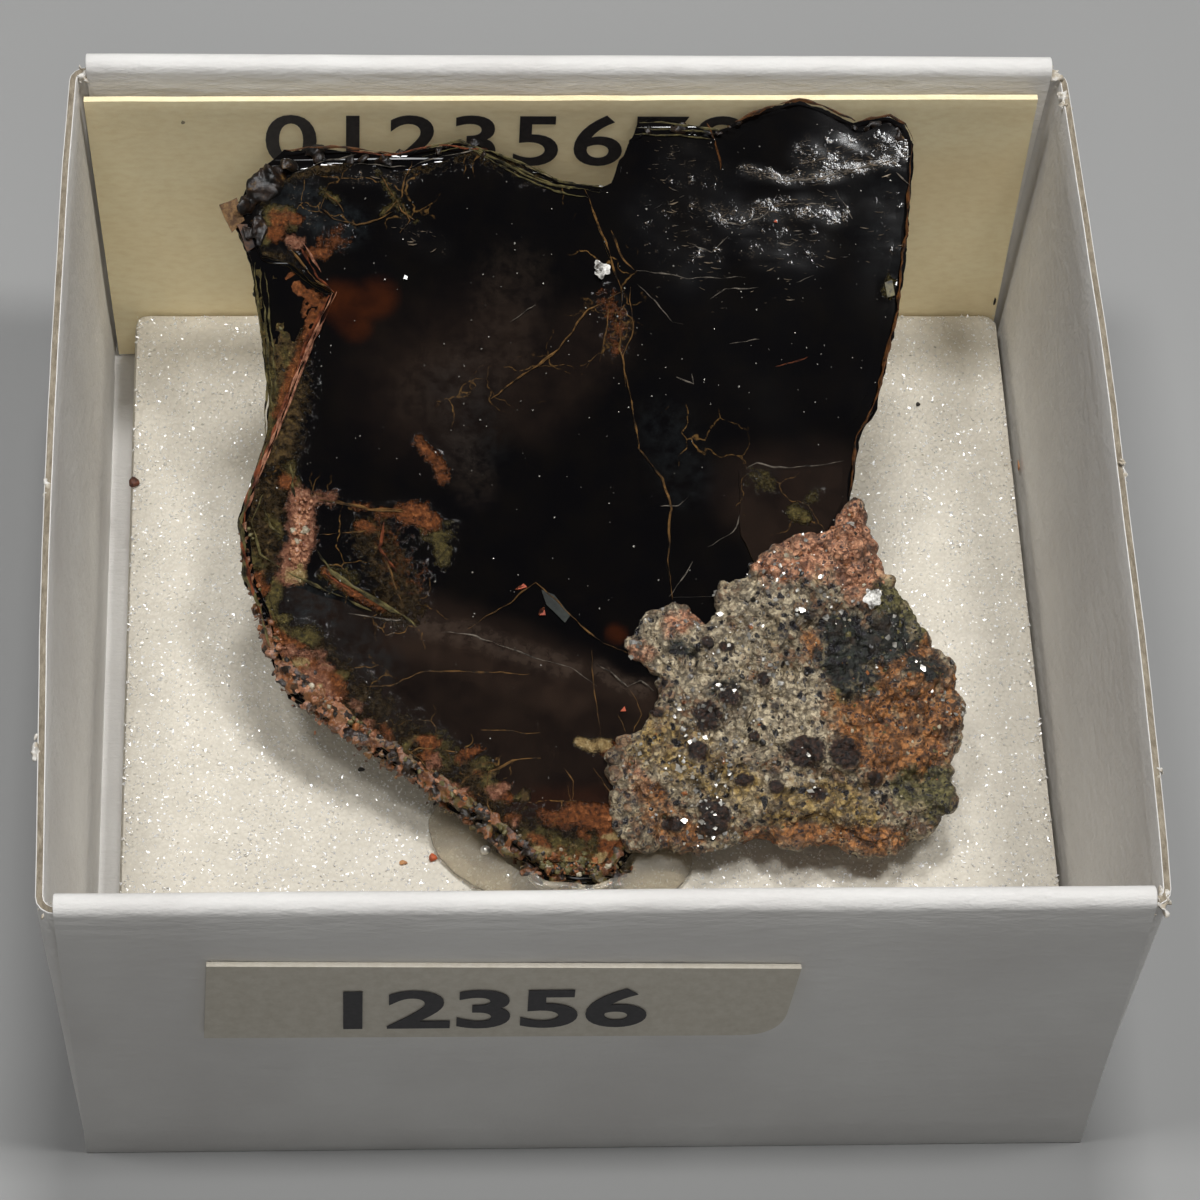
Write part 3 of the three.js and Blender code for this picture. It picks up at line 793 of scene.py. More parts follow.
def insideOutline(places, outline):
    inside = np.zeros(len(places), bool)
    for (x0, y0), (x1, y1) in zip(outline, outline[1:] + outline[:1]):
        crosses = (y0 > places[:, 1]) != (y1 > places[:, 1])
        rise = y1 - y0 if y1 != y0 else 1e-9
        inside ^= crosses & (places[:, 0] < (x1 - x0) * (places[:, 1] - y0) / rise + x0)
    return inside


def stainAt(kind, places):
    amount = np.zeros(len(places))
    for width, strength, line in stains[kind]:
        distance, _ = awayFrom(places, line)
        fade = np.clip(1.35 - distance / width, 0, 1)
        amount = np.maximum(amount, strength * fade * fade * (3 - 2 * fade))
    return amount


def ragged(outline, step, rough, seed, inset=0.0, closed=True):
    points = []
    ends = outline[1:] + outline[:1] if closed else outline[1:]
    for start, end in zip(outline, ends):
        start, end = Vector((*start, 0)), Vector((*end, 0))
        count = max(1, round((end - start).length / step))
        side = Vector((end.y - start.y, start.x - end.x, 0)).normalized()
        for i in range(count):
            point = start.lerp(end, i / count)
            shake = noise.noise(point * 1.1 + Vector((seed, 0, 0)))
            shake += 0.6 * noise.noise(point * 3.1 + Vector((0, seed, 0)))
            points.append(point + side * (rough * shake - inset))
    if not closed:
        points.append(Vector((*outline[-1], 0)))
    return [(p.x, p.y) for p in points]


swellings = [(-11.8, 27.9, 1.1, 0.04)]


def wave(u, v):
    here = Vector((u, v, 0))
    height = crystal["roll"] * noise.noise(here * 0.11 + Vector((3, 1, 0)))
    height += crystal["ripple"] * noise.noise(here * 0.42 + Vector((0, 7, 0)))
    for middleU, middleV, radius, rise in swellings:
        near = 1 - ((u - middleU) ** 2 + (v - middleV) ** 2) / radius ** 2
        if near > 0:
            height += rise * near * near
    return height


def coordinates(piece):
    values = np.empty(len(piece.data.vertices) * 3)
    piece.data.vertices.foreach_get("co", values)
    return values.reshape(-1, 3)


def cutSheet(name, outline, rough, seed):
    low, high = np.min(outline, 0), np.max(outline, 0)
    size, middle = high - low, (high + low) / 2
    bpy.ops.object.select_all(action="DESELECT")
    bpy.ops.mesh.primitive_grid_add(
        x_subdivisions=round(size[0] / crystal["cell"]), y_subdivisions=round(size[1] / crystal["cell"]),
        size=1, location=(middle[0], middle[1], 0))
    piece = namePiece(name)
    piece.scale = (size[0], size[1], 1)
    bpy.ops.object.transform_apply(location=True, scale=True)
    edge = ragged(outline, 0.3, rough, seed)
    centres = np.empty(len(piece.data.polygons) * 3)
    piece.data.polygons.foreach_get("center", centres)
    outside = ~insideOutline(centres.reshape(-1, 3)[:, :2], edge)
    bpy.ops.object.mode_set(mode="EDIT")
    bpy.ops.mesh.select_mode(type="FACE")
    bpy.ops.mesh.select_all(action="DESELECT")
    bpy.ops.object.mode_set(mode="OBJECT")
    piece.data.polygons.foreach_set("select", outside)
    bpy.ops.object.mode_set(mode="EDIT")
    bpy.ops.mesh.delete(type="FACE")
    bpy.ops.object.mode_set(mode="OBJECT")
    uses = np.bincount([loop.edge_index for loop in piece.data.loops], minlength=len(piece.data.edges))
    rim = sorted({v for e in piece.data.edges if uses[e.index] == 1 for v in e.vertices})
    places = coordinates(piece)[:, :2]
    _, nearest = awayFrom(places[rim], edge + edge[:1])
    for index, (u, v) in zip(rim, nearest):
        piece.data.vertices[index].co = (u, v, 0)
    return piece


def shapeSheet(piece, level, thickness, rimDrop, smokeAndSheen):
    places = coordinates(piece)[:, :2]
    kinds = {kind: stainAt(kind, places) for kind in stains}
    # The smoky veil also paints a soft sheen on the lower sheets.
    kinds["veilAndSheen"] = np.maximum(kinds["veilAndSheen"], smokeAndSheen)
    uses = np.bincount([loop.edge_index for loop in piece.data.loops], minlength=len(piece.data.edges))
    rim = {v for e in piece.data.edges if uses[e.index] == 1 for v in e.vertices}
    for kind, amount in kinds.items():
        paintAmount(piece, kind, amount)
    crust = np.max([kinds["salmon"], kinds["rust"], kinds["pale"], 0.8 * kinds["olive"]], 0)
    for vertex, scab, crease in zip(piece.data.vertices, crust, kinds["crumple"]):
        u, v, _ = vertex.co
        height = level + wave(u, v)
        knobbly = 0.55 + noise.noise(Vector((u, v, 0)) * 3.1) + 0.6 * noise.noise(Vector((u, v, 2)) * 6)
        height += 0.065 * scab * knobbly
        height += 0.05 * crease * noise.noise(Vector((u * 1.1, v * 3.4, 4)))
        if vertex.index in rim:
            height -= rimDrop * (0.7 + noise.noise(Vector((u, v, 0)) * 2))
        vertex.co.z = height
    piece.data.update()
    piece.data.materials.append(bpy.data.materials.new("sheet"))
    piece.data.materials.append(bpy.data.materials.new("edge"))
    applyModifier(piece, "SOLIDIFY", thickness=thickness, offset=-1, material_offset_rim=1)


def drawPlate(name, outline, low, high, seed):
    curve = bpy.data.curves.new(name, "CURVE")
    curve.dimensions = "2D"
    curve.fill_mode = "BOTH"
    curve.extrude = (high - low) / 2
    line = curve.splines.new("POLY")
    line.points.add(len(outline) - 1)
    line.use_cyclic_u = True
    for point, (u, v) in zip(line.points, outline):
        point.co = (u, v, 0, 1)
    piece = curveToMesh(name, curve)
    piece.data.materials.append(faceFinish)
    piece.data.materials.append(edgeFinish)
    for face in piece.data.polygons:
        face.material_index = 1 if abs(face.normal.z) < 0.5 else 0
    moveVertices(piece, lambda co: Vector((
        co.x, co.y, co.z + (low + high) / 2 + 0.05 * noise.noise(Vector((co.x, co.y, seed)) * 0.5))))
    return piece


def joinPieces(pieces, name):
    bpy.ops.object.select_all(action="DESELECT")
    for piece in pieces:
        piece.select_set(True)
    bpy.context.view_layer.objects.active = pieces[0]
    bpy.ops.object.join()
    return namePiece(name)


def drawThread(line, width, seed, level, shake=0.08):
    points = ragged(line, 0.18, shake, seed, closed=False)
    curve = bpy.data.curves.new("thread", "CURVE")
    curve.dimensions = "3D"
    curve.bevel_depth = width / 2
    curve.bevel_resolution = 0
    curve.use_fill_caps = True
    spline = curve.splines.new("POLY")
    spline.points.add(len(points) - 1)
    for i, (u, v) in enumerate(points):
        ends = min(1.0, 4 * i / len(points) + 0.2, 4 * (1 - (i + 1) / len(points)) + 0.25)
        spline.points[i].co = (u, v, level + wave(u, v), 1)
        swell = 0.72 + 1.25 * noise.noise(Vector((u, v, seed)) * 1.9)
        spline.points[i].radius = ends * max(0.06, min(1.25, swell))
    return curveToMesh("thread", curve)


# ---- crystal: materials

def faceCoordinates(tree, stretch=(1, 1, 1)):
    turned = faceTurn.inverted() @ Vector(crystal["foot"])
    flat = inMillimetres(tree, turn=-math.radians(crystal["lean"]), shift=tuple(-turned))
    return addNode(tree, "Mapping", {"Vector": flat, "Scale": stretch})[0]


def stainMask(tree, kind, flat, seed, scale, hard):
    # The painted amount eaten into by a grain of its own, so each stain has a broken edge.
    apart = addNode(tree, "Mapping", {"Vector": flat, "Location": (7 * seed, 3 * seed, 0)})[0]
    grain = addNode(tree, "TexNoise", {"Vector": apart, "Scale": scale, "Detail": 4, "Roughness": 0.72})[0]
    amount = addNode(tree, "Attribute", {}, attribute_name=kind)["Fac"]
    spread = addNode(tree, "Math", {0: grain, 1: 2, 2: -1}, operation="MULTIPLY_ADD")[0]
    total = addNode(tree, "Math", {0: amount, 1: spread}, operation="ADD")[0]
    edge = addNode(tree, "MapRange", {0: total, 1: 0.5 - hard, 2: 0.5 + hard})[0]
    return cutDown(tree, edge, (amount, (0.02, 0.2)))


def veins(tree, vector, scale, width):
    # Thin wandering lines where a grained pattern crosses its middle.
    grain = addNode(tree, "TexNoise", {"Vector": vector, "Scale": scale, "Detail": 4, "Roughness": 0.6})[0]
    offset = addNode(tree, "Math", {0: grain, 1: 0.5}, operation="SUBTRACT")[0]
    gap = addNode(tree, "Math", {0: offset}, operation="ABSOLUTE")[0]
    return addNode(tree, "MapRange", {0: gap, 1: width * 0.3, 2: width, 3: 1, 4: 0})[0]


def network(tree, vector, scale, width):
    # Long bent cracks that meet and part, as between cells.
    bent = bend(tree, vector, 0.5, 2.6)
    gap = addNode(tree, "TexVoronoi", {"Vector": bent, "Scale": scale}, feature="DISTANCE_TO_EDGE")[0]
    return addNode(tree, "MapRange", {0: gap, 1: width * 0.3, 2: width, 3: 1, 4: 0})[0]


def micaFace():
    # Phlogopite mica on its cleavage: near black in thick sheets, glassy and smooth, with iron
    # stains, smoky veils between sheets that partly paint a soft sheen, and creased scales that show pale.
    material, tree = newMaterial("cleavedDarkMica")
    flat = faceCoordinates(tree)
    grain = addNode(tree, "TexNoise", {"Vector": flat, "Scale": 2.2, "Detail": 6, "Roughness": 0.66})[0]
    soft = addNode(tree, "TexNoise", {"Vector": flat, "Scale": 0.55, "Detail": 5, "Roughness": 0.6})[0]
    fine = addNode(tree, "TexNoise", {"Vector": flat, "Scale": 6, "Detail": 5, "Roughness": 0.75})[0]
    colour = layColours(tree, "#040304", [(soft, (0.4, 0.75), "#0A0705")])
    # Veil and haze are partly painted sheen; slate and amber are tints of the mica itself.
    veils = [
        ("veilAndSheen", soft, (0.3, 0.65, 0.35, 1), "#352820"),
        ("slate", grain, (0.4, 0.7, 0, 1), "#272C2E"),
        ("amber", soft, (0.3, 0.6, 0.3, 1), "#3E1B08"),
        ("hazeAndSheen", grain, (0.4, 0.6, 0.15, 0.9), "#4C4037"),
    ]
    for kind, pattern, span, tint in veils:
        amount = addNode(tree, "Attribute", {}, attribute_name=kind)["Fac"]
        colour = layColours(tree, colour, [(cutDown(tree, amount, (pattern, span)), None, tint)])
    earth = 0
    tints = [
        ("mottle", "#1E170C", "#5E4826", "#8C7442", 4.6, 3.5),
        ("olive", "#211D0D", "#5F5328", "#9A8A50", 1.7, 2.4),
        ("rust", "#32160A", "#84491F", "#C47C48", 2.3, 2.2),
        ("salmon", "#5B2E20", "#A06B50", "#DBA98A", 5.1, 2.0),
        ("pale", "#7A5F36", "#B79A66", "#E4D2A8", 6.4, 2.6),
    ]
    for kind, dark, middle, light, seed, scale in tints:
        shade = layColours(tree, dark, [(fine, (0.36, 0.5), middle), (fine, (0.54, 0.68), light)])
        mask = stainMask(tree, kind, flat, seed, scale, 0.24)
        colour = layColours(tree, colour, [(mask, None, shade)])
        earth = addNode(tree, "Math", {0: mask, 1: earth}, operation="MAXIMUM")[0]
    web = stainMask(tree, "web", flat, 7.3, 0.8, 0.3)
    web = cutDown(tree, network(tree, flat, 0.42, 0.013), web, (fine, (0.42, 0.56, 0, 0.95)))
    creased = faceCoordinates(tree, (0.8, 1.9, 1))
    crumple = addNode(tree, "Attribute", {}, attribute_name="crumple")["Fac"]
    torn = stainMask(tree, "crumple", flat, 8.2, 1.4, 0.12)
    wide = cutDown(tree, veins(tree, creased, 0.9, 0.009), torn, (fine, (0.44, 0.6)))
    narrow = cutDown(tree, veins(tree, creased, 1.7, 0.014), torn, (fine, (0.44, 0.6)))
    frost = addNode(tree, "TexNoise", {"Vector": creased, "Scale": 13, "Detail": 3})[0]
    powder = stainMask(tree, "crumple", flat, 9.1, 1.6, 0.14)
    powder = cutDown(tree, powder, (crumple, (0.1, 0.8, 0.12, 0.75)), (frost, (0.53, 0.68)))
    colour = layColours(tree, colour, [
        (web, None, "#765830"),
        (wide, None, "#94836F"),
        (narrow, None, "#94836F"),
        (powder, None, "#9C8A75"),
    ])
    dull = addNode(tree, "Math", {0: crumple, 1: 0.35, 2: earth}, operation="MULTIPLY_ADD")[0]
    rough = addNode(tree, "MapRange", {0: dull, 1: 0, 2: 1, 3: 0.07, 4: 0.42})[0]
    creases = cutDown(tree, fine, torn)
    gritty = cutDown(tree, fine, earth)
    return setSurface(material, {"Base Color": colour, "Roughness": rough, "IOR": 1.58}, [
        (creases, 1, 0.007),
        (gritty, 1, 0.3),
        (earth, 0.5, 0.05),
    ])


def micaEdge():
    # Torn edge of a mica book: thin leaves seen end on, brown and olive, and silky.
    material, tree = newMaterial("tornMicaEdge")
    leaves = faceCoordinates(tree, (0.5, 0.5, 9))
    strata = addNode(tree, "TexNoise", {"Vector": leaves, "Scale": 1.1, "Detail": 4, "Roughness": 0.6})[0]
    along = addNode(tree, "TexNoise", {"Vector": faceCoordinates(tree), "Scale": 0.6, "Detail": 4})[0]
    tone = layColours(tree, "#6B4525", [(along, (0.4, 0.62), "#92824F")])
    colour = layColours(tree, "#22170E", [(strata, (0.42, 0.58), tone)])
    finish = {"Base Color": colour, "Roughness": 0.35, "IOR": 1.58}
    return setSurface(material, finish, [(strata, 0.8, 0.08)])


def fleckedFinish(name, dark, light, rough):
    # Dust in a crack, the raised lip of a torn leaf, or a crumb: flecked from dark to light.
    material, tree = newMaterial(name)
    flat = faceCoordinates(tree)
    fleck = addNode(tree, "TexNoise", {"Vector": flat, "Scale": 2.6, "Detail": 4, "Roughness": 0.7})[0]
    colour = layColours(tree, dark, [(fleck, (0.38, 0.6), light)])
    return setSurface(material, {"Base Color": colour, "Roughness": rough})


faceFinish = micaFace()
edgeFinish = micaEdge()
goldLip = fleckedFinish("ironStainedCrack", "#181009", "#7E5C32", 0.4)
greyLip = fleckedFinish("liftedLeafLip", "#171513", "#857C70", 0.5)
rustLip = fleckedFinish("rustFilledCrack", "#2E120A", "#8A4A2C", 0.4)
salmonLip = fleckedFinish("salmonTornLeaf", "#4E2419", "#B98468", 0.35)
oliveLip = fleckedFinish("oliveLeafEdge", "#14120B", "#6E6540", 0.35)
brownLip = fleckedFinish("brownLeafEdge", "#120B07", "#6B4322", 0.3)


# ---- crystal: sheets

# Sheets at the front: outline, roughness and seed of the edge, level, thickness, drop of the rim,
# and how smoky they are; on the lower sheets the smoke also paints a soft sheen.
sheets = {
    "micaFace": (faceOutline, 0.1, 1, 0, 0.12, 0.002, 0),
    "micaLowerSheet": (lowerSheetOutline, 0.08, 2, 0.1, 0.09, 0.003, 0.4),
    "micaRightSheet": (rightSheetOutline, 0.1, 3, 0.06, 0.1, 0.002, 0),
    "micaThinSheet": (thinSheetOutline, 0.06, 5, 0.17, 0.07, 0.003, 0.5),
    "micaNotchSheet": (notchOutline, 0.06, 4, -0.28, 0.1, 0.02, 0),
}
# Leaves behind them: outline, step and roughness of the edge, seed, lowest level, rise from leaf to
# leaf, thickness, and how far in each leaf ends.
leaves = {
    "rearLayer": (rearOutline, 0.35, 0.25, 20, -2.6, 0.26, 0.25, [0.35 - 0.1 * i for i in range(6)]),
    "bookLayer": (bookOutline, 0.25, 0.14, 40, -1.06, 0.125, 0.115, (0.12, 0.02, 0.1, 0.0, 0.16, 0.08)),
    "underLayer": (faceOutline, 0.25, 0.12, 60, -0.3, 0.1, 0.09, (-0.12, -0.03)),
}


def makeCrystal():
    for name, (outline, rough, seed, level, thickness, rimDrop, smokeAndSheen) in sheets.items():
        sheet = cutSheet(name, outline, rough, seed)
        shapeSheet(sheet, level, thickness, rimDrop, smokeAndSheen)
        replaced = "mica_crystal" if name == "micaFace" else None
        finishPiece(sheet, [faceFinish, edgeFinish], replaced, faceStand, smooth=28)
    book = []
    for name, (outline, step, rough, seed, level, rise, thickness, insets) in leaves.items():
        for i, inset in enumerate(insets):
            edge = ragged(outline, step, rough, seed + i, inset=inset)
            low = level + rise * i
            book.append(drawPlate(name, edge, low, low + thickness, seed + i))
    finishPiece(joinPieces(book, "micaBook"), [], place=faceStand, smooth=0)


makeCrystal()
print("crystal sheets cut")


# ---- crystal: cracks, lips and torn slivers
# Each line has its width. A sliver also has its level and its finish.

goldLines = [
    (0.1, [(0.4, 27.6), (1.0, 25.9), (1.4, 24.7), (1.8, 23.5)]),
    (0.07, [(1.8, 23.5), (1.7, 21.1), (2.1, 19.1), (2.4, 17.1), (3.3, 15.9), (3.6, 14.7), (3.45, 12.7),
            (3.6, 11.1)]),
    (0.08, [(1.4, 25.9), (1.9, 24.7), (2.3, 24.3)]),
    (0.09, [(1.9, 23.5), (0.5, 22.7), (-0.7, 21.1), (-1.8, 20.3), (-3.4, 19.1)]),
    (0.05, [(2.1, 23.6), (2.2, 21.8), (1.8, 20.8), (1.9, 19.6)]),
    (0.05, [(1.3, 23.0), (1.1, 21.6), (0.9, 20.6)]),
    (0.06, [(-8.6, 7.7), (-7.4, 7.8), (-6.2, 8.3), (-4.0, 8.3), (-2.0, 8.2)]),
    (0.05, [(-3.9, 6.0), (-2.3, 5.9), (-1.6, 5.9)]),
    (0.08, [(-3.8, 3.4), (-3.6, 4.4), (-2.7, 4.8), (-1.6, 4.9)]),
    (0.06, [(0.4, 9.1), (0.5, 7.6), (0.7, 5.8)]),
    (0.06, [(-4.4, 10.0), (-2.7, 11.0), (-1.7, 11.8), (-1.0, 11.2), (0.0, 10.1), (0.9, 9.4), (1.8, 9.0)]),
    (0.05, [(0.4, 4.5), (1.1, 3.5), (1.3, 2.5)]),
    (0.05, [(-0.7, 4.5), (-0.4, 4.0), (-0.4, 3.3)]),
    (0.09, [(-10.2, 15.1), (-9.2, 15.0), (-8.2, 14.7), (-6.8, 14.6)]),
    (0.06, [(-10.1, 13.7), (-8.2, 13.9)]),
    (0.08, [(-7.7, 28.2), (-7.2, 27.4), (-7.0, 27.1), (-7.5, 26.6)]),
    (0.08, [(-7.0, 27.1), (-6.8, 26.7), (-6.3, 26.3)]),
    (0.08, [(-9.9, 27.5), (-9.4, 27.1), (-9.1, 26.6)]),
    (0.05, [(1.9, 7.6), (2.3, 6.6), (2.0, 5.9)]),
    (0.05, [(1.4, 6.6), (1.7, 5.9)]),
    (0.07, [(-10.2, 15.3), (-8.2, 14.7), (-6.7, 14.7)]),
    (0.06, [(-7.9, 14.1), (-7.6, 12.9), (-7.2, 11.8), (-6.8, 10.7)]),
    (0.06, [(-7.8, 4.8), (-6.3, 5.3), (-4.5, 5.1), (-3.8, 4.4)]),
    (0.05, [(-7.5, 5.8), (-6.0, 4.6), (-4.5, 3.4)]),
    (0.06, [(-5.2, 3.1), (-4.5, 4.1), (-3.7, 4.4)]),
    (0.05, [(-3.8, 4.1), (-3.7, 3.1), (-3.0, 1.9)]),
    (0.1, [(-11.9, 11.4), (-11.75, 10.6), (-11.8, 10.0)]),
    (0.06, [(-9.8, 27.3), (-10.0, 26.8), (-9.5, 26.4), (-8.6, 26.1), (-7.6, 26.4), (-7.0, 26.8)]),
    (0.06, [(-7.0, 26.8), (-6.8, 27.3), (-6.7, 28.1), (-6.4, 28.7)]),
    (0.05, [(-6.8, 27.1), (-6.5, 26.3), (-6.9, 25.8)]),
]
greyLines = [
    (0.05, [(2.4, 24.3), (4.4, 24.0), (5.9, 24.0), (6.7, 24.0)]),
    (0.05, [(5.3, 23.1), (5.9, 23.5), (7.2, 23.6)]),
    (0.04, [(8.7, 23.8), (9.4, 24.1)]),
    (0.05, [(2.4, 23.7), (3.1, 23.1), (3.8, 22.2), (4.2, 22.1)]),
    (0.08, [(10.4, 27.6), (11.0, 26.4)]),
    (0.05, [(12.8, 28.3), (13.4, 27.7)]),
    (0.04, [(6.0, 21.3), (7.2, 21.5)]),
    (0.05, [(3.9, 20.0), (4.6, 19.7), (4.5, 20.1)]),
    (0.04, [(-8.7, 28.6), (-6.6, 28.5)]),
    (0.05, [(-6.5, 28.4), (-5.7, 28.8), (-4.7, 29.0), (-3.9, 29.2)]),
    (0.05, [(-11.1, 28.2), (-9.8, 28.7), (-8.6, 29.0)]),
    (0.05, [(-9.0, 10.6), (-8.0, 10.4), (-6.8, 10.3)]),
    (0.05, [(3.5, 11.2), (3.9, 11.8), (4.4, 12.6)]),
    (0.04, [(3.2, 14.8), (3.9, 14.8), (4.3, 15.2)]),
    (0.05, [(-5.4, 9.85), (-4.2, 9.75), (-3.2, 9.35), (-1.8, 8.85), (-0.4, 8.45), (0.6, 7.7)]),
    (0.05, [(0.7, 8.6), (1.2, 8.2), (1.8, 7.65), (2.3, 7.9), (2.8, 7.5)]),
    (0.09, [(6.6, 28.4), (8.4, 27.9), (9.9, 28.1), (11.4, 28.5), (13.4, 29.0)]),
    (0.06, [(5.4, 26.7), (6.0, 26.2), (6.6, 26.1), (7.3, 26.4), (7.7, 26.8)]),
    (0.05, [(7.9, 27.0), (9.2, 27.0), (10.3, 26.9)]),
    (0.05, [(4.7, 25.3), (5.4, 25.0), (6.1, 25.7)]),
    (0.08, [(8.0, 25.4), (8.5, 25.3), (8.8, 25.5)]),
    (0.04, [(-2.6, 22.2), (-1.6, 22.9)]),
    (0.04, [(-9.9, 12.4), (-8.6, 11.6), (-7.8, 10.9)]),
    (0.05, [(6.4, 16.2), (7.0, 16.5), (8.4, 16.3), (10.4, 16.6)]),
    (0.04, [(5.0, 13.2), (6.0, 13.8), (6.6, 15.2), (7.2, 16.3)]),
]
rustLines = [
    (0.14, [(-12.3, 17.0), (-12.9, 15.2), (-13.1, 13.4), (-12.75, 11.7), (-12.2, 10.2)]),
    (0.1, [(-9.0, 29.15), (-7.2, 28.95), (-5.4, 29.4), (-3.4, 29.2)]),
    (0.12, [(-9.9, 12.2), (-9.1, 11.6), (-8.4, 11.2)]),
    (0.1, [(-7.6, 14.2), (-7.8, 13.2), (-7.1, 12.2)]),
    (0.06, [(7.8, 20.4), (9.1, 20.8)]),
    (0.14, [(-2.5, 11.5), (-2.1, 11.7)]),
    (0.14, [(-1.6, 10.5), (-1.4, 10.8)]),
    (0.06, [(-1.8, 2.7), (-0.2, 2.7)]),
]
oliveLines = [
    (0.17, [(-12.15, 17.4), (-13.1, 14.5), (-12.95, 12.0), (-12.4, 10.8), (-12.0, 9.3)]),
    (0.14, [(-12.6, 15.9), (-13.2, 14.2), (-13.05, 12.3), (-12.5, 11.2)]),
    (0.16, [(-10.3, 13.2), (-9.6, 12.2), (-8.3, 11.3), (-6.8, 10.5), (-5.8, 9.5)]),
    (0.12, [(-11.3, 12.2), (-9.4, 11.3), (-8.1, 10.7)]),
    (0.1, [(-12.3, 15.3), (-12.7, 14.2), (-12.4, 12.9), (-11.6, 12.4)]),
    (0.1, [(-4.2, 29.4), (-3.1, 28.8), (-1.8, 28.1), (-0.2, 27.6)]),
    (0.14, [(-6.4, 29.15), (-4.5, 29.55), (-2.1, 28.65), (-0.6, 27.95), (1.1, 27.65)]),
    (0.1, [(-6.0, 28.9), (-4.4, 29.35), (-2.2, 28.4), (-0.7, 27.75), (1.0, 27.45)]),
    (0.09, [(-3.9, 29.1), (-2.2, 28.15), (-0.8, 27.5), (0.6, 27.2)]),
    (0.12, [(2.6, 30.35), (4.2, 30.25), (5.8, 30.0)]),
    (0.08, [(2.4, 30.1), (4.0, 30.05), (5.6, 29.85)]),
    (0.08, [(2.4, 29.85), (4.0, 29.8), (5.4, 29.65)]),
    (0.09, [(-12.6, 24.6), (-12.4, 22.2), (-12.1, 19.8), (-12.2, 17.6)]),
    (0.08, [(-12.4, 24.4), (-12.2, 22.2), (-11.95, 19.8), (-12.0, 17.9)]),
    (0.08, [(-12.2, 24.2), (-12.0, 22.2), (-11.8, 20.2), (-11.85, 18.4)]),
    (0.1, [(-11.2, 16.6), (-11.1, 15.6), (-11.0, 15.1)]),
    (0.1, [(-12.3, 14.9), (-12.0, 14.0), (-11.5, 13.7)]),
]
brownLines = [
    (0.14, [(5.3, 30.3), (5.6, 29.6), (5.8, 28.4)]),
    (0.16, [(10.9, 17.4), (11.8, 19.2), (12.7, 22.7), (13.0, 25.2), (13.25, 27.2), (13.45, 29.6)]),
    (0.12, [(10.6, 15.2), (10.9, 17.4)]),
    (0.16, [(6.4, 30.35), (7.8, 31.0), (9.0, 31.3), (10.1, 30.95), (11.2, 30.4)]),
    (0.12, [(11.3, 30.4), (12.6, 30.65), (13.2, 30.3), (13.5, 29.6)]),
    (0.12, [(-11.4, 29.2), (-9.6, 29.3), (-6.9, 29.0)]),
]
slivers = [
    (0.17, 0.06, [(-9.7, 23.3), (-10.5, 21.6), (-11.0, 20.2), (-12.0, 17.4), (-12.8, 15.3)], rustLip),
    (0.13, 0.12, [(-9.55, 23.35), (-10.35, 21.6), (-10.9, 20.25), (-11.9, 17.5), (-12.7, 15.5)], salmonLip),
    (0.09, 0.17, [(-9.4, 23.4), (-10.2, 21.6), (-10.75, 20.3), (-11.75, 17.6), (-12.6, 15.6)], salmonLip),
    (0.16, -0.06, [(-12.3, 16.4), (-12.6, 15.5), (-13.0, 14.6)], salmonLip),
    (0.13, 0.04, [(-11.0, 25.5), (-10.5, 24.7), (-10.1, 24.0), (-9.5, 23.4)], rustLip),
    (0.12, 0.08, [(-11.3, 25.3), (-10.7, 24.5), (-10.2, 23.9), (-9.6, 23.5)], goldLip),
    (0.1, 0.1, [(-10.8, 25.5), (-10.4, 24.9), (-10.0, 24.2)], salmonLip),
]


def makeCracks():
    seed = 100
    for name, lines, finish in (("goldCracks", goldLines, goldLip), ("leafLips", greyLines, greyLip),
                                ("rustCracks", rustLines, rustLip), ("oliveLips", oliveLines, oliveLip),
                                ("brownLips", brownLines, brownLip)):
        threads = []
        for width, line in lines:
            seed += 1
            lower = line[0][1] < 11 and line[0][0] < 3
            threads.append(drawThread(line, width, seed, level=0.11 if lower else 0.06))
        piece = joinPieces(threads, name)
        finishPiece(piece, [finish], place=faceStand)
    for number, (width, level, line, finish) in enumerate(slivers):
        seed += 1
        piece = drawThread(line, width, seed, level=level, shake=0.05)
        piece.name = f"sliver{number}"
        finishPiece(piece, [finish], place=faceStand)


makeCracks()
print("cracks drawn")


# ---- crystal: chips and flakes that lie on the face or lean from its corners
# Each has its outline, level, thickness, the lean of its near edge and of its side in degrees,
# and its finish.

tanFlake = fleckedFinish("tanTranslucentFlake", "#4A321C", "#8C6A42", 0.25)
greenFlake = fleckedFinish("greyGreenFlake", "#10130F", "#262B26", 0.75)
# Small orange flakes whose bright colour partly paints the orange glints of light seen there.
orangeGlintFlake = fleckedFinish("orangePaintedGlintFlake", "#8A2E0A", "#C4501A", 0.6)
# Near-white silvery crumb colour; where it sits on a point of reflected light, the pale tone also paints that
# highlight.
paleCrumbAndGlint = fleckedFinish("silverCrumbAndPaintedGlint", "#4A4640", "#F4F1EA", 0.2)

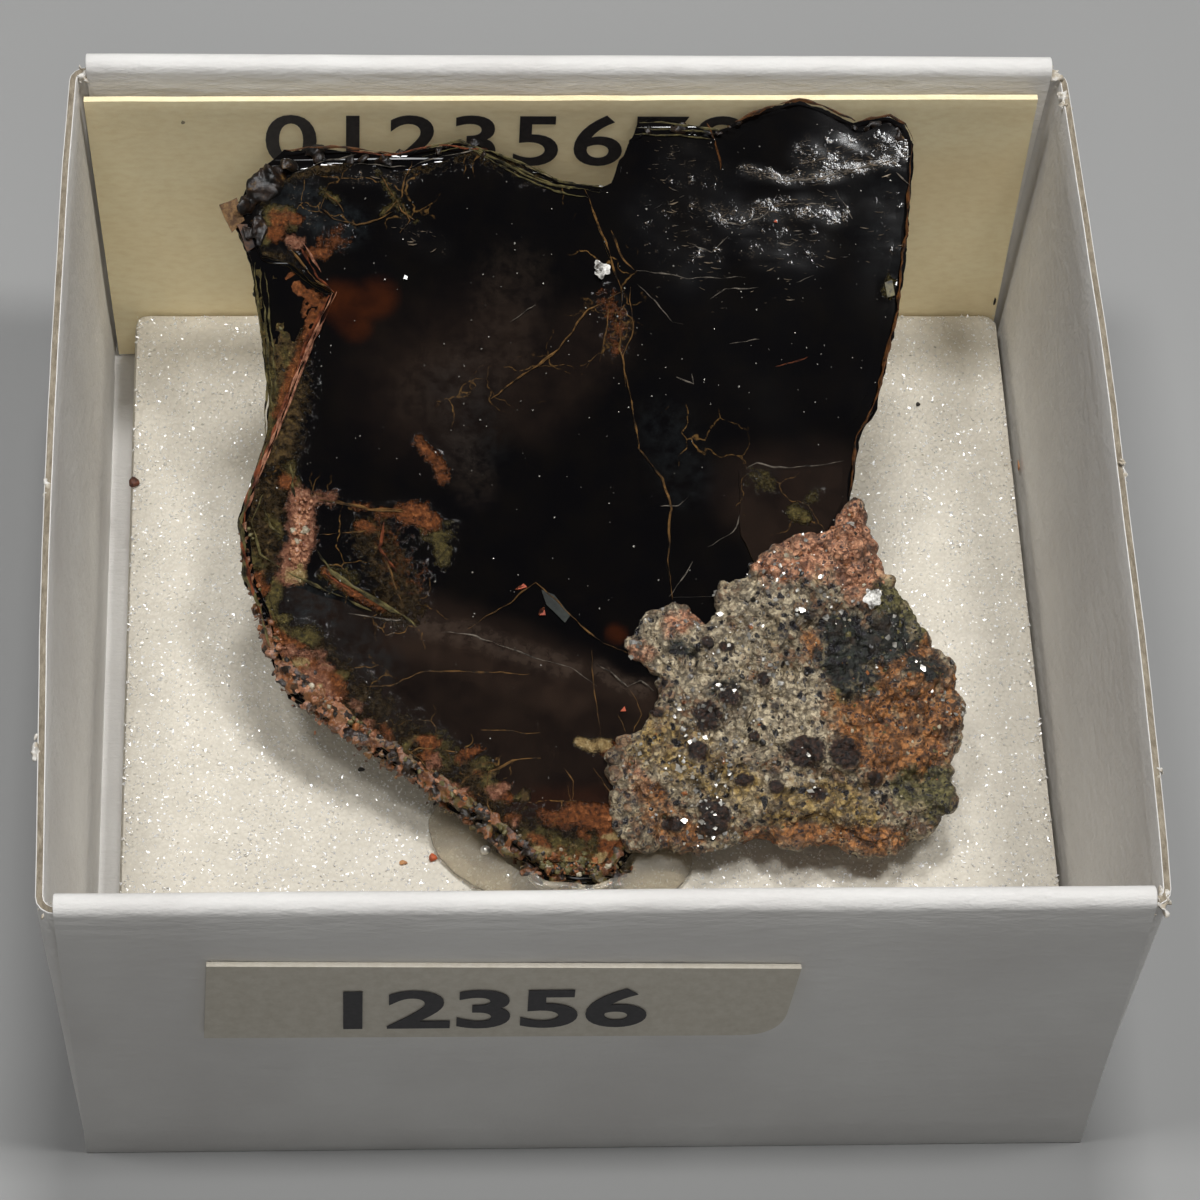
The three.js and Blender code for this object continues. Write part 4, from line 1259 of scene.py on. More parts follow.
chips = [
    ([(-14.0, 27.0), (-13.3, 27.3), (-13.0, 26.4), (-13.5, 25.9)], -0.3, 0.12, -4, 4, tanFlake),
    ([(-13.3, 26.2), (-12.9, 26.2), (-12.6, 25.3), (-12.9, 25.1)], -0.2, 0.12, -4, -3, brownLip),
    ([(12.2, 23.8), (12.5, 23.9), (12.6, 23.3), (12.3, 23.2)], 0.04, 0.08, -4, 3, oliveLip),
    ([(-1.5, 11.5), (-1.0, 11.3), (-0.4, 10.5), (-0.6, 10.2), (-1.3, 10.9)], 0.05, 0.05, 0, 0, greenFlake),
    # Painted orange glints: bright flakes where small orange sparks of light show on the face.
    ([(-2.45, 11.5), (-2.2, 11.75), (-2.05, 11.6)], 0.06, 0.05, 8, 0, orangeGlintFlake),
    ([(-1.6, 10.5), (-1.4, 10.75), (-1.35, 10.5)], 0.06, 0.05, 8, 0, orangeGlintFlake),
    ([(1.5, 6.7), (1.65, 6.9), (1.72, 6.7)], 0.12, 0.05, 8, 0, orangeGlintFlake),
    ([(7.85, 26.25), (7.95, 26.35), (8.0, 26.22)], 0.08, 0.05, 8, 0, orangeGlintFlake),
    # Painted highlight: a tilted near-white flake where the black face shows a point of reflected light.
    ([(-6.78, 23.93), (-6.72, 24.1), (-6.6, 24.02), (-6.64, 23.9)], 0.06, 0.04, 12.5, 0, paleCrumbAndGlint),
    ([(-7.54, 23.88), (-7.5, 23.94), (-7.46, 23.88)], 0.06, 0.04, 12, 0, tanFlake),
]


def makeChips():
    for number, (outline, level, thickness, near, side, finish) in enumerate(chips):
        middle = np.mean(outline, 0)
        about = [(u - middle[0], v - middle[1]) for u, v in outline]
        edge = ragged(about, 0.2, 0.03, 200 + number)
        piece = drawPlate(f"chip{number}", edge, -thickness / 2, thickness / 2, number)
        lean = Matrix.Rotation(math.radians(-near), 4, "X") @ Matrix.Rotation(math.radians(side), 4, "Y")
        stand = Matrix.Translation((middle[0], middle[1], level + wave(*middle) + thickness / 2))
        piece.data.transform(stand @ lean)
        piece.data.materials.clear()
        for face in piece.data.polygons:
            face.material_index = 0
        finishPiece(piece, [finish], place=faceStand, smooth=0)


def makeCrumb(name, place, size, lean, finish):
    # A scrap of leaf, its grid drawn round, then crumpled.
    bpy.ops.object.select_all(action="DESELECT")
    bpy.ops.mesh.primitive_grid_add(x_subdivisions=12, y_subdivisions=12, size=2)
    piece = namePiece(name)

    def crumple(co):
        reach = max(abs(co.x), abs(co.y))
        outward = co.normalized() * reach
        outward *= 0.8 + 0.5 * noise.noise(co.normalized() * 1.4 + Vector((place[0], 0, 0)))
        return outward + Vector((0, 0, 0.16 * noise.noise(co * 1.6) + 0.12 * noise.noise(co * 4)))
    moveVertices(piece, crumple)
    applyModifier(piece, "SOLIDIFY", thickness=0.06)
    turn = Matrix.Rotation(math.radians(lean[0]), 4, "X") @ Matrix.Rotation(math.radians(lean[1]), 4, "Y")
    piece.data.transform(Matrix.Translation(place) @ turn @ Matrix.Diagonal((*size, 1)))
    finishPiece(piece, [finish], place=faceStand, smooth=0)


makeChips()
# A crumpled crumb whose near-white colour partly paints the highlight off it.
makeCrumb("crumbWithPaintedGlint", (1.0, 24.3, 0.2), (0.42, 0.4, 0.42), (-9, 0), paleCrumbAndGlint)
print("chips laid")


# ---- grains: modelled once, copied over the rock and the crust

def makeGrain(name, detail, squash, rough, seed):
    bpy.ops.object.select_all(action="DESELECT")
    bpy.ops.mesh.primitive_ico_sphere_add(subdivisions=detail, radius=1)
    piece = namePiece(name)
    moveVertices(piece, lambda co: Vector((
        co.x, co.y, co.z * squash)) * (1 + rough * noise.noise(co * 1.3 + Vector((seed, 0, 0)))))
    return piece


def scatter(model, places, name):
    copies = []
    for place in places:
        copy = bpy.data.objects.new(name, model.data.copy())
        copy.data.transform(place)
        bpy.context.collection.objects.link(copy)
        copies.append(copy)
    return joinPieces(copies, name)


def dropModel(model):
    bpy.data.objects.remove(model)


def crinkle(piece, across, upward, reach):
    moveVertices(piece, lambda co: co + reach * Vector((
        noise.noise(co * across),
        noise.noise(co * across + Vector((9, 0, 0))),
        noise.noise(co * upward + Vector((0, 5, 0))))))


def standOn(point, normal, size, dice, lean):
    turn = Vector(normal).to_track_quat("Z", "Y").to_matrix().to_4x4()
    spin = Matrix.Rotation(dice.uniform(0, 2 * math.pi), 4, "Z")
    tip = Matrix.Rotation(dice.gauss(0, lean), 4, "X") @ Matrix.Rotation(dice.gauss(0, lean), 4, "Y")
    wide, long = dice.uniform(0.75, 1.3), dice.uniform(0.75, 1.3)
    stretch = Matrix.Diagonal((size * wide, size * long, size, 1))
    return Matrix.Translation(point) @ turn @ tip @ spin @ stretch


def grainFinish(name, dark, light, rough):
    # A mineral grain: broken, with a little colour change from grain to grain.
    material, tree = newMaterial(name)
    flat = faceCoordinates(tree)
    patch = addNode(tree, "TexNoise", {"Vector": flat, "Scale": 1.3, "Detail": 2})[0]
    fleck = addNode(tree, "TexNoise", {"Vector": flat, "Scale": 6, "Detail": 3})[0]
    both = addNode(tree, "Math", {0: patch, 1: fleck}, operation="ADD")[0]
    colour = layColours(tree, dark, [(both, (0.75, 1.25), light)])
    return setSurface(material, {"Base Color": colour, "Roughness": rough}, [(fleck, 0.6, 0.06)])


grainKinds = {
    "dark": grainFinish("darkSilicateGrain", "#0F0D0B", "#2E2A26", 0.3),
    "cream": grainFinish("creamFeldsparGrain", "#6E6350", "#C9BDA3", 0.4),
    "grey": grainFinish("greyQuartzGrain", "#3C3937", "#96918A", 0.25),
    "rust": grainFinish("ironStainedGrain", "#50290F", "#A86A3C", 0.45),
    "salmon": grainFinish("pinkFeldsparGrain", "#6E3E2A", "#C4906C", 0.4),
    "olive": grainFinish("oliveAlteredGrain", "#38341D", "#71683F", 0.5),
}


# ---- host rock

rock = {
    "voxel": 0.11,
    "grow": 0.12,
    "coarse": 0.32,
    "medium": 0.3,
    "fine": 0.08,
    "grains": 1300,
    "glints": 1500,
}
rockOutline = [
    (10.7, 15.1), (11.2, 14.4), (11.4, 13.5), (11.3, 12.7), (12.2, 11.5), (12.8, 10.6), (13.0, 9.9),
    (13.6, 9.7), (13.3, 9.1), (14.3, 8.4), (14.7, 7.4), (14.7, 6.3), (14.3, 4.9), (14.2, 3.1),
    (13.6, 2.1), (13.0, 1.8),
    (12.5, 1.3), (10.8, 1.0), (10.4, 1.5), (9.1, 1.6), (8.2, 1.4), (6.8, 1.9), (5.4, 1.6), (4.5, 1.3),
    (3.3, 1.6), (1.9, 1.4), (1.2, 2.2), (1.3, 4.6), (1.5, 5.5), (2.4, 5.9), (3.2, 7.1), (3.2, 8.0),
    (2.2, 8.8), (1.8, 9.2), (2.8, 10.5), (4.0, 10.8), (4.9, 10.1), (5.5, 10.5), (5.6, 11.6),
    (6.9, 12.2), (7.4, 13.0),
    (8.1, 13.4), (9.7, 13.7), (10.4, 14.3),
]
rockZones = {
    "brick": [
        (1.25, 1.0, [(8.8, 13.1), (10.2, 13.9), (10.8, 13.0), (10.9, 12.2)]),
        (0.8, 0.8, [(7.4, 12.3), (9.2, 12.4)]),
        (0.5, 0.7, [(3.4, 10.0), (4.4, 10.3)]),
        (0.4, 0.6, [(2.1, 9.1), (2.6, 9.0)]),
        (0.5, 0.5, [(1.9, 4.4), (2.4, 3.6)]),
    ],
    "slate": [
        (0.95, 1.0, [(10.2, 9.6), (10.5, 8.3), (11.2, 9.0), (12.1, 9.5)]),
        (0.7, 0.8, [(9.6, 8.8), (10.4, 7.7)]),
        (0.5, 0.8, [(12.9, 8.4), (13.8, 8.2)]),
        (0.6, 0.5, [(7.6, 9.8), (8.6, 10.4)]),
        (0.6, 0.6, [(5.4, 7.4), (6.0, 7.0)]),
        (0.4, 0.6, [(3.6, 9.2), (4.2, 9.0)]),
    ],
    "moss": [
        (0.75, 0.9, [(11.9, 11.1), (12.4, 10.5), (12.8, 9.9)]),
        (0.8, 0.8, [(12.6, 3.6), (13.6, 2.9), (13.8, 4.0)]),
        (0.4, 0.6, [(11.2, 7.4), (10.0, 7.2)]),
    ],
    "ochre": [
        (1.5, 0.95, [(10.9, 6.6), (12.4, 6.4), (13.4, 7.0)]),
        (1.2, 0.9, [(11.3, 5.4), (13.2, 5.0)]),
        (0.6, 0.9, [(11.0, 7.9), (12.2, 8.5), (13.2, 9.2)]),
        (0.7, 0.6, [(2.6, 3.4), (3.2, 2.0), (4.2, 1.8)]),
        (0.5, 0.8, [(6.6, 1.7), (8.6, 1.9), (10.8, 1.6), (12.0, 1.6)]),
        (0.4, 0.8, [(8.8, 9.4), (9.0, 9.0)]),
    ],
    "cement": [
        (1.6, 0.7, [(3.2, 9.6), (5.2, 8.6), (6.9, 11.0)]),
        (1.5, 0.75, [(6.0, 6.0), (8.2, 6.9), (8.8, 5.9)]),
        (1.0, 0.6, [(3.0, 4.4), (6.0, 3.2), (8.0, 3.6)]),
    ],
    "honey": [
        (1.2, 0.6, [(3.0, 5.4), (4.6, 4.2), (6.2, 3.4)]),
        (0.9, 0.7, [(7.6, 2.9), (9.4, 3.2), (10.6, 2.6)]),
    ],
}
zoneGrains = {
    "slate": ("dark", "dark", "olive"),
    "brick": ("salmon", "rust", "salmon", "cream"),
    "ochre": ("rust", "rust", "olive", "cream"),
    "moss": ("olive", "olive", "dark"),
}
# Large dark grains: place, width and height.
bigGrains = [
    (4.8, 6.4, 0.62, 0.7), (8.6, 5.0, 0.95, 0.72), (10.1, 4.9, 0.72, 0.72), (4.4, 5.0, 0.45, 0.5),
    (5.0, 2.5, 0.7, 0.9), (3.5, 2.3, 0.5, 0.36), (5.6, 9.1, 0.34, 0.3), (7.0, 7.8, 0.3, 0.36),
    (5.7, 7.1, 0.5, 0.4), (4.9, 9.3, 0.3, 0.26), (9.0, 3.4, 0.5, 0.3), (6.2, 3.9, 0.42, 0.3),
    (11.2, 3.9, 0.4, 0.34), (7.4, 3.6, 0.34, 0.3), (2.9, 6.6, 0.3, 0.26), (6.6, 5.6, 0.26, 0.26),
]


def zoneAt(kind, places):
    amount = np.zeros(len(places))
    for width, strength, line in rockZones[kind]:
        distance, _ = awayFrom(places, line)
        fade = np.clip(1.5 - distance / width, 0, 1)
        amount = np.maximum(amount, strength * fade)
    return amount


def rockFinish():
    # Broken contact rock: cream and grey grains, black specks, and iron and chlorite stains.
    material, tree = newMaterial("granularHostRock")
    flat = faceCoordinates(tree)
    bent = bend(tree, flat, 1.6, 0.65, 4, 0.6)
    large = addNode(tree, "TexVoronoi", {"Vector": bent, "Scale": 2.1})
    small = addNode(tree, "TexVoronoi", {"Vector": bent, "Scale": 4.6})
    cloud = addNode(tree, "TexNoise", {"Vector": flat, "Scale": 0.8, "Detail": 6, "Roughness": 0.68})[0]
    fine = addNode(tree, "TexNoise", {"Vector": flat, "Scale": 5.5, "Detail": 5, "Roughness": 0.75})[0]
    patch = addNode(tree, "TexNoise", {"Vector": bent, "Scale": 1.1, "Detail": 3, "Roughness": 0.6})[0]
    pick = addNode(tree, "SeparateColor", {0: large[1]})[0]
    pickSmall = addNode(tree, "SeparateColor", {0: small[1]})
    both = addNode(tree, "Math", {0: pickSmall[2], 1: 0.22, 2: fine}, operation="MULTIPLY_ADD")[0]
    tone = addNode(tree, "MapRange", {0: both, 1: 0.46, 2: 0.76})[0]
    tan = addNode(tree, "MapRange", {0: pickSmall[1], 1: 0.6, 2: 0.7})[0]
    ground = layColours(tree, "#39332E", [
        (cloud, (0.4, 0.6), "#544838"),
        (tone, None, "#B5A587"),
        (cutDown(tree, tan, 0.7), None, "#80593A"),
    ])
    masks = {kind: stainMask(tree, kind, flat, 11 + seed, 1.5, 0.22) for seed, kind in enumerate(rockZones)}
    shades = [
        ("cement", "#756650", "#DCCCAC"),
        ("honey", "#4E3C20", "#BC9E60"),
        ("brick", "#6E3E28", "#E2A680"),
        ("ochre", "#42240F", "#BE8048"),
        ("moss", "#26240F", "#7A7247"),
        ("slate", "#080A08", "#2F342B"),
    ]
    for kind, dark, light in shades:
        shade = layColours(tree, dark, [(tone, None, light)])
        ground = layColours(tree, ground, [(masks[kind], None, shade)])
    speck = addNode(tree, "MapRange", {0: pick, 1: 0.37, 2: 0.33})[0]
    speck = cutDown(tree, speck, (large[0], (0.42, 0.3)), (masks["ochre"], (0, 1, 1, 0.5)),
                    (masks["brick"], (0, 1, 1, 0.45)))
    tiny = addNode(tree, "MapRange", {0: pickSmall[0], 1: 0.36, 2: 0.33})[0]
    tiny = cutDown(tree, tiny, (small[0], (0.45, 0.3)))
    garnet = stainMask(tree, "garnet", flat, 31, 2.6, 0.2)
    deep = layColours(tree, "#080403", [(fine, (0.42, 0.66), "#4A2E1E")])
    gap = addNode(tree, "MapRange", {0: small[0], 1: 0.5, 2: 0.66})[0]
    ground = layColours(tree, ground, [
        (patch, (0.46, 0.34, 0, 0.6), "#3A2617"),
        (patch, (0.58, 0.68, 0, 0.4), "#C9B48C"),
        (speck, None, "#1B191C"),
        (cutDown(tree, tiny, 0.85), None, "#26242A"),
        (garnet, None, deep),
        (cutDown(tree, gap, 0.6), None, "#1A1512"),
    ])
    shine = addNode(tree, "Math", {0: speck, 1: tiny}, operation="MAXIMUM")[0]
    wet = addNode(tree, "MapRange", {0: cloud, 1: 0.45, 2: 0.6})[0]
    wet = addNode(tree, "Math", {0: shine, 1: wet}, operation="MAXIMUM")[0]
    wet = cutDown(tree, wet, (garnet, (0, 1, 1, 0.15)))
    rough = addNode(tree, "MapRange", {0: wet, 1: 0, 2: 1, 3: 0.6, 4: 0.2})[0]
    return setSurface(material, {"Base Color": ground, "Roughness": rough}, [
        (small[0], 0.7, 0.1),
        (fine, 0.9, 0.09),
        (cloud, 0.4, 0.2),
    ])


def copySolid(node, name, place):
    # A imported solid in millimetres, moved to where its piece is modelled, with its triangles joined.
    piece = bpy.data.objects.new(name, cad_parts[node].data.copy())
    bpy.context.collection.objects.link(piece)
    piece.data.transform(place @ Matrix.Scale(1 / metre, 4))
    selectOnly(piece)
    bpy.ops.object.mode_set(mode="EDIT")
    bpy.ops.mesh.select_all(action="SELECT")
    bpy.ops.mesh.remove_doubles(threshold=0.001)
    bpy.ops.object.mode_set(mode="OBJECT")
    return piece


def makeRock():
    piece = copySolid("host_rock", "hostRock", faceStand.inverted())
    cutter = drawPlate("rockCutter", ragged(rockOutline, 0.3, 0.14, 71), -7, 7, 71)
    applyModifier(piece, "BOOLEAN", operation="INTERSECT", object=cutter, solver="EXACT")
    dropModel(cutter)
    spill = drawPlate("rockSpill", ragged(rockOutline, 0.3, 0.2, 72, inset=0.05), -0.3, 0.26, 72)
    piece = joinPieces([piece, spill], "hostRock")
    applyModifier(piece, "REMESH", mode="VOXEL", voxel_size=rock["voxel"])
    applyModifier(piece, "SMOOTH", factor=0.6, iterations=3)
    normals = [Vector(v.normal) for v in piece.data.vertices]
    for vertex, normal in zip(piece.data.vertices, normals):
        here = Vector(vertex.co)
        lift = rock["grow"] + rock["coarse"] * noise.noise(here * 0.75)
        lift += rock["medium"] * (abs(noise.noise(here * 1.7 + Vector((5, 0, 0)))) - 0.2)
        lift += rock["fine"] * noise.noise(here * 4.2 + Vector((0, 9, 0)))
        chips = noise.noise(here * 1.3 + Vector((2, 2, 8)))
        lift -= 0.5 * max(0.0, chips - 0.12)
        vertex.co = here + normal * lift
    piece.data.update()
    places = coordinates(piece)[:, :2]
    garnets = np.zeros(len(places))
    for u, v, wide, tall in bigGrains:
        reach = np.hypot((places[:, 0] - u) / wide, (places[:, 1] - v) / tall)
        garnets = np.maximum(garnets, np.clip(1.25 - reach * reach, 0, 0.9))
    for vertex, normal, amount in zip(piece.data.vertices, normals, garnets):
        vertex.co += normal * 0.2 * amount
    paintAmount(piece, "garnet", garnets)
    for kind in rockZones:
        paintAmount(piece, kind, zoneAt(kind, places))
    return piece


def zoneKind(point, dice):
    place = np.array([[point.x, point.y]])
    for kind, choices in zoneGrains.items():
        if zoneAt(kind, place)[0] > 0.45 and dice.random() < 0.8:
            return dice.choice(choices)
    return dice.choice(("dark", "dark", "cream", "cream", "grey", "grey", "rust"))


def coverRock(piece):
    dice = random.Random(7)
    faces = [(Vector(f.center), Vector(f.normal)) for f in piece.data.polygons if f.center.z > -2.2]
    spots = {kind: [] for kind in grainKinds}
    for _ in range(rock["grains"]):
        point, normal = dice.choice(faces)
        if any(math.hypot((point.x - u) / wide, (point.y - v) / tall) < 1 for u, v, wide, tall in bigGrains):
            continue
        kind = zoneKind(point, dice)
        size = 0.04 + 0.1 * dice.random() ** 2.6
        if kind == "dark":
            size *= 1.2
        spots[kind].append(standOn(point - normal * size * 0.45, normal, size, dice, 0.4))
    model = makeGrain("grain", 2, 0.8, 0.5, 3)
    for kind, places in spots.items():
        grains = scatter(model, places, f"rockGrains_{kind}")
        finishPiece(grains, [grainKinds[kind]], place=faceStand, smooth=0)
    dropModel(model)


def flakeFinish():
    # Loose leaf of mica on the rock: pearly and bright where it faces a light.
    material, tree = newMaterial("pearlyMicaFlake")
    patch = addNode(tree, "TexNoise", {"Vector": faceCoordinates(tree), "Scale": 2, "Detail": 2})[0]
    colour = layColours(tree, "#8F8C86", [(patch, (0.4, 0.6), "#D6D2C8")])
    return setSurface(material, {"Base Color": colour, "Metallic": 0.6, "Roughness": 0.25})


flakeShine = flakeFinish()


def makeFlakeModel():
    bpy.ops.object.select_all(action="DESELECT")
    bpy.ops.mesh.primitive_grid_add(x_subdivisions=2, y_subdivisions=2, size=1.6)
    piece = namePiece("flake")
    moveVertices(piece, lambda co: co + Vector((
        0.25 * co.y * co.x, 0.2 * co.x, 0.1 * co.x * co.x - 0.1 * co.y)))
    applyModifier(piece, "SOLIDIFY", thickness=0.12)
    return piece


def sprinkleGlints(piece):
    dice = random.Random(11)
    faces = [(Vector(f.center), Vector(f.normal)) for f in piece.data.polygons if f.normal.z > 0.2]
    model = makeFlakeModel()
    places = []
    for _ in range(rock["glints"]):
        point, normal = dice.choice(faces)
        cluster = noise.noise(point * 0.5 + Vector((0, 0, 5))) + 0.05 * (point.y - point.x)
        if cluster < 0.5 * dice.random() - 0.2:
            continue
        size = 0.025 + 0.09 * dice.random() ** 3
        up = (Vector(normal) + Vector((0, 0, 1.4))).normalized()
        places.append(standOn(point + normal * 0.05, up, size, dice, 0.3))
    glints = scatter(model, places, "rockGlints")
    finishPiece(glints, [flakeShine], place=faceStand, smooth=0)
    dropModel(model)
    _, point, _, _ = piece.ray_cast(Vector((11.3, 11.0, 6)), Vector((0, 0, -1)))
    place = (point.x, point.y, point.z + 0.25)
    # A bright mica flake on the rock; its near-white colour partly paints its glint.
    makeCrumb("rockFlake", place, (0.4, 0.48, 0.3), (-6, 9), paleCrumbAndGlint)


hostRock = makeRock()
coverRock(hostRock)
sprinkleGlints(hostRock)
finishPiece(hostRock, [rockFinish()], "host_rock", faceStand, smooth=0)
print("host rock broken")


# ---- crust on the crystal's lower left edge and foot

lumpVoxel = 0.065
# Lumps that grow together: spread, count, lowest level, smallest and largest lump, and their line.
crustLumps = [
    (0.16, 170, -0.9, 0.07, 0.2, [(-12.4, 10.9), (-11.9, 9.3), (-11.3, 7.8)]),
    (0.3, 280, -0.7, 0.07, 0.22, [(-11.2, 8.4), (-10.2, 7.2), (-9.4, 6.6)]),
    (0.2, 800, -1.0, 0.07, 0.18, [(-9.6, 6.5), (-7.7, 5.2), (-5.8, 3.85), (-3.9, 2.45), (-2.3, 1.15)]),
    (0.3, 260, -1.0, 0.07, 0.22, [(-2.4, 1.0), (-1.2, 0.3), (0.8, 0.2), (1.5, 1.0)]),
    (0.2, 60, -0.1, 0.08, 0.22, [(0.7, 2.3), (1.6, 2.6), (1.9, 3.8), (1.8, 4.8)]),
    (0.1, 380, 0.0, 0.05, 0.14, [(-9.35, 6.9), (-7.5, 5.6), (-5.6, 4.2), (-3.7, 2.8), (-2.1, 1.5)]),
    (0.1, 90, -0.5, 0.06, 0.16, [(-13.0, 14.2), (-12.9, 12.4), (-12.5, 11.0)]),
]


def crustFinish():
    # Grown-together crust: pink feldspar, iron-brown, olive and dark grains, a little glassy.
    material, tree = newMaterial("mixedMineralCrust")
    flat = faceCoordinates(tree)
    cells = addNode(tree, "TexVoronoi", {"Vector": bend(tree, flat, 2.4, 0.45), "Scale": 3.4})
    fine = addNode(tree, "TexNoise", {"Vector": flat, "Scale": 7, "Detail": 4, "Roughness": 0.7})[0]
    pick = addNode(tree, "SeparateColor", {0: cells[1]})
    across = addNode(tree, "SeparateXYZ", {0: flat})[0]
    pink = addNode(tree, "MapRange", {0: pick[1], 1: 0.55, 2: 0.66})[0]
    green = addNode(tree, "MapRange", {0: pick[2], 1: 0.5, 2: 0.6})[0]
    colour = layColours(tree, "#331A0E", [
        (pick[0], (0.2, 0.8), "#7E4E2C"),
        (cutDown(tree, pink, (across, (-10.4, -6, 0.7, 0.15))), None, "#A9765A"),
        (cutDown(tree, green, (across, (-10, -4, 0.15, 0.9))), None, "#554C26"),
        (pick[0], (0.36, 0.28, 0, 0.9), "#120B08"),
        (fine, (0.54, 0.72, 0, 0.4), "#B08A5E"),
        (fine, (0.46, 0.34, 0, 0.7), "#2A1510"),
    ])
    relief = [(cells[0], 0.6, 0.08), (fine, 0.6, 0.06)]
    return setSurface(material, {"Base Color": colour, "Roughness": 0.34}, relief)


cornerLumps = [
    (0.22, 9, -0.3, 0.4, 0.75, [(-12.9, 27.0), (-12.4, 27.8), (-11.7, 28.3)]),
    (0.16, 9, -0.3, 0.25, 0.5, [(-11.4, 28.6), (-10.2, 28.9), (-8.6, 28.9), (-6.8, 28.8)]),
    (0.2, 5, -0.2, 0.25, 0.5, [(-12.8, 26.3), (-12.5, 25.5)]),
    (0.15, 6, -0.2, 0.15, 0.36, [(-5.6, 29.2), (-4.4, 29.4), (-3.2, 29.0)]),
    (0.08, 14, -0.2, 0.12, 0.26, [(2.8, 30.1), (4.2, 30.1), (5.6, 29.9), (6.6, 30.3)]),
    (0.1, 10, -0.2, 0.12, 0.3, [(11.0, 30.1), (12.4, 30.4), (13.2, 29.7)]),
]


def cornerFinish():
    # Broken corner of the book: blunt dark lumps of mica, brown where they thin out, glassy.
    material, tree = newMaterial("bluntDarkMica")
    flat = faceCoordinates(tree)
    patch = addNode(tree, "TexNoise", {"Vector": flat, "Scale": 1.4, "Detail": 5, "Roughness": 0.7})[0]
    colour = layColours(tree, "#060403", [
        (patch, (0.44, 0.56), "#24160C"),
        (patch, (0.58, 0.66), "#6A5028"),
    ])
    return setSurface(material, {"Base Color": colour, "Roughness": 0.42}, [(patch, 0.8, 0.08)])


def growLumps(name, clumps, finish, seed):
    dice = random.Random(seed)
    model = makeGrain("lump", 1, 0.6, 0.8, 12)
    places = []
    for spread, count, deepest, smallest, largest, line in clumps:
        for _ in range(count):
            u, v = alongLine(line, spread, dice)
            inside = insideOutline(np.array([[u, v]]), faceOutline)[0]
            level = 0.05 + wave(u, v) if inside else deepest * dice.random() ** 1.5
            size = smallest + (largest - smallest) * dice.random() ** 2
            places.append(standOn((u, v, level), (0, 0, 1), size, dice, 0.5))
    piece = scatter(model, places, name)
    dropModel(model)
    applyModifier(piece, "REMESH", mode="VOXEL", voxel_size=lumpVoxel)
    applyModifier(piece, "SMOOTH", factor=0.5, iterations=2)
    crinkle(piece, 2.6, 3.1, 0.09)
    finishPiece(piece, [finish], place=faceStand, smooth=0)


crustLines = [
    (0.3, 34, (("salmon", 3), ("rust", 2), ("olive", 1)), [(-12.2, 10.1), (-11.5, 9.2)]),
    (0.45, 110, (("salmon", 5), ("rust", 2), ("cream", 1), ("dark", 1)),
     [(-11.6, 8.6), (-10.8, 8.2), (-10.2, 7.3), (-9.6, 6.9)]),
    (0.35, 150, (("salmon", 2), ("rust", 3), ("olive", 3), ("dark", 2)),
     [(-9.6, 6.8), (-7.8, 5.5), (-5.9, 4.1), (-4.0, 2.8), (-2.4, 1.3)]),
    (0.5, 130, (("olive", 4), ("rust", 3), ("dark", 2), ("cream", 1)),
     [(-1.8, 0.9), (-0.4, 0.7), (1.0, 0.8)]),
    (0.35, 60, (("rust", 4), ("olive", 1)), [(0.9, 2.4), (1.6, 2.6), (1.9, 3.8), (1.8, 4.8)]),
    (0.32, 90, (("salmon", 5), ("cream", 1)), [(-10.8, 15.0), (-10.8, 13.6), (-11.1, 12.4)]),
    (0.3, 50, (("rust", 3), ("olive", 3)), [(-13.0, 14.2), (-12.9, 12.6), (-12.5, 11.3)]),
    (0.4, 60, (("olive", 4), ("dark", 3), ("cream", 1)), [(-12.1, 23.8), (-11.8, 21.6), (-11.5, 19.8)]),
]


def makeCrust():
    dice = random.Random(19)
    spots = {kind: [] for kind in grainKinds}
    for width, count, mix, line in crustLines:
        names = [name for name, share in mix for _ in range(share)]
        for _ in range(count):
            u, v = alongLine(line, width * 0.5, dice)
            size = 0.04 + 0.1 * dice.random() ** 2
            inside = insideOutline(np.array([[u, v]]), faceOutline)[0]
            level = 0.08 + wave(u, v) if inside else -0.35 - 0.6 * dice.random()
            spots[dice.choice(names)].append(standOn((u, v, level), (0, 0, 1), size, dice, 0.6))
    model = makeGrain("crumb", 2, 0.7, 0.6, 8)
    for kind, places in spots.items():
        if places:
            grains = scatter(model, places, f"crustGrains_{kind}")
            finishPiece(grains, [grainKinds[kind]], place=faceStand, smooth=0)
    dropModel(model)


growLumps("mineralCrust", crustLumps, crustFinish(), 53)
growLumps("bluntCorners", cornerLumps, cornerFinish(), 59)
makeCrust()
print("crust laid")


# ---- creased scales, dust and small chips on the face

creaseBands = [
    (0.8, 84, 0.25, [(8.9, 28.6), (11.0, 29.0), (13.2, 29.2)]),
    (0.26, 80, 0.2, [(6.4, 28.5), (8.4, 28.0), (9.9, 28.15), (11.4, 28.6), (13.3, 29.0)]),
    (0.55, 70, 0.25, [(5.4, 26.7), (6.6, 26.2), (7.7, 26.7), (9.2, 26.9), (10.3, 26.8)]),
    (1.4, 80, 0.3, [(3.4, 28.8), (4.6, 26.6), (5.0, 25.0)]),
    (1.1, 60, 0.2, [(6.4, 25.3), (8.6, 25.3), (9.8, 25.0)]),
    (1.5, 26, 0.4, [(11.6, 27.4), (12.4, 25.6), (12.2, 24.0)]),
    (1.2, 26, 0.2, [(3.0, 24.0), (6.4, 23.6), (9.0, 23.8)]),
    (0.8, 16, 0.5, [(-9.8, 28.6), (-6.8, 28.4)]),
    (0.8, 24, 0.5, [(-12.4, 27.6), (-11.2, 26.6), (-10.0, 25.8)]),
    (0.8, 12, 0.5, [(-6.8, 26.2), (-5.6, 25.2)]),
]


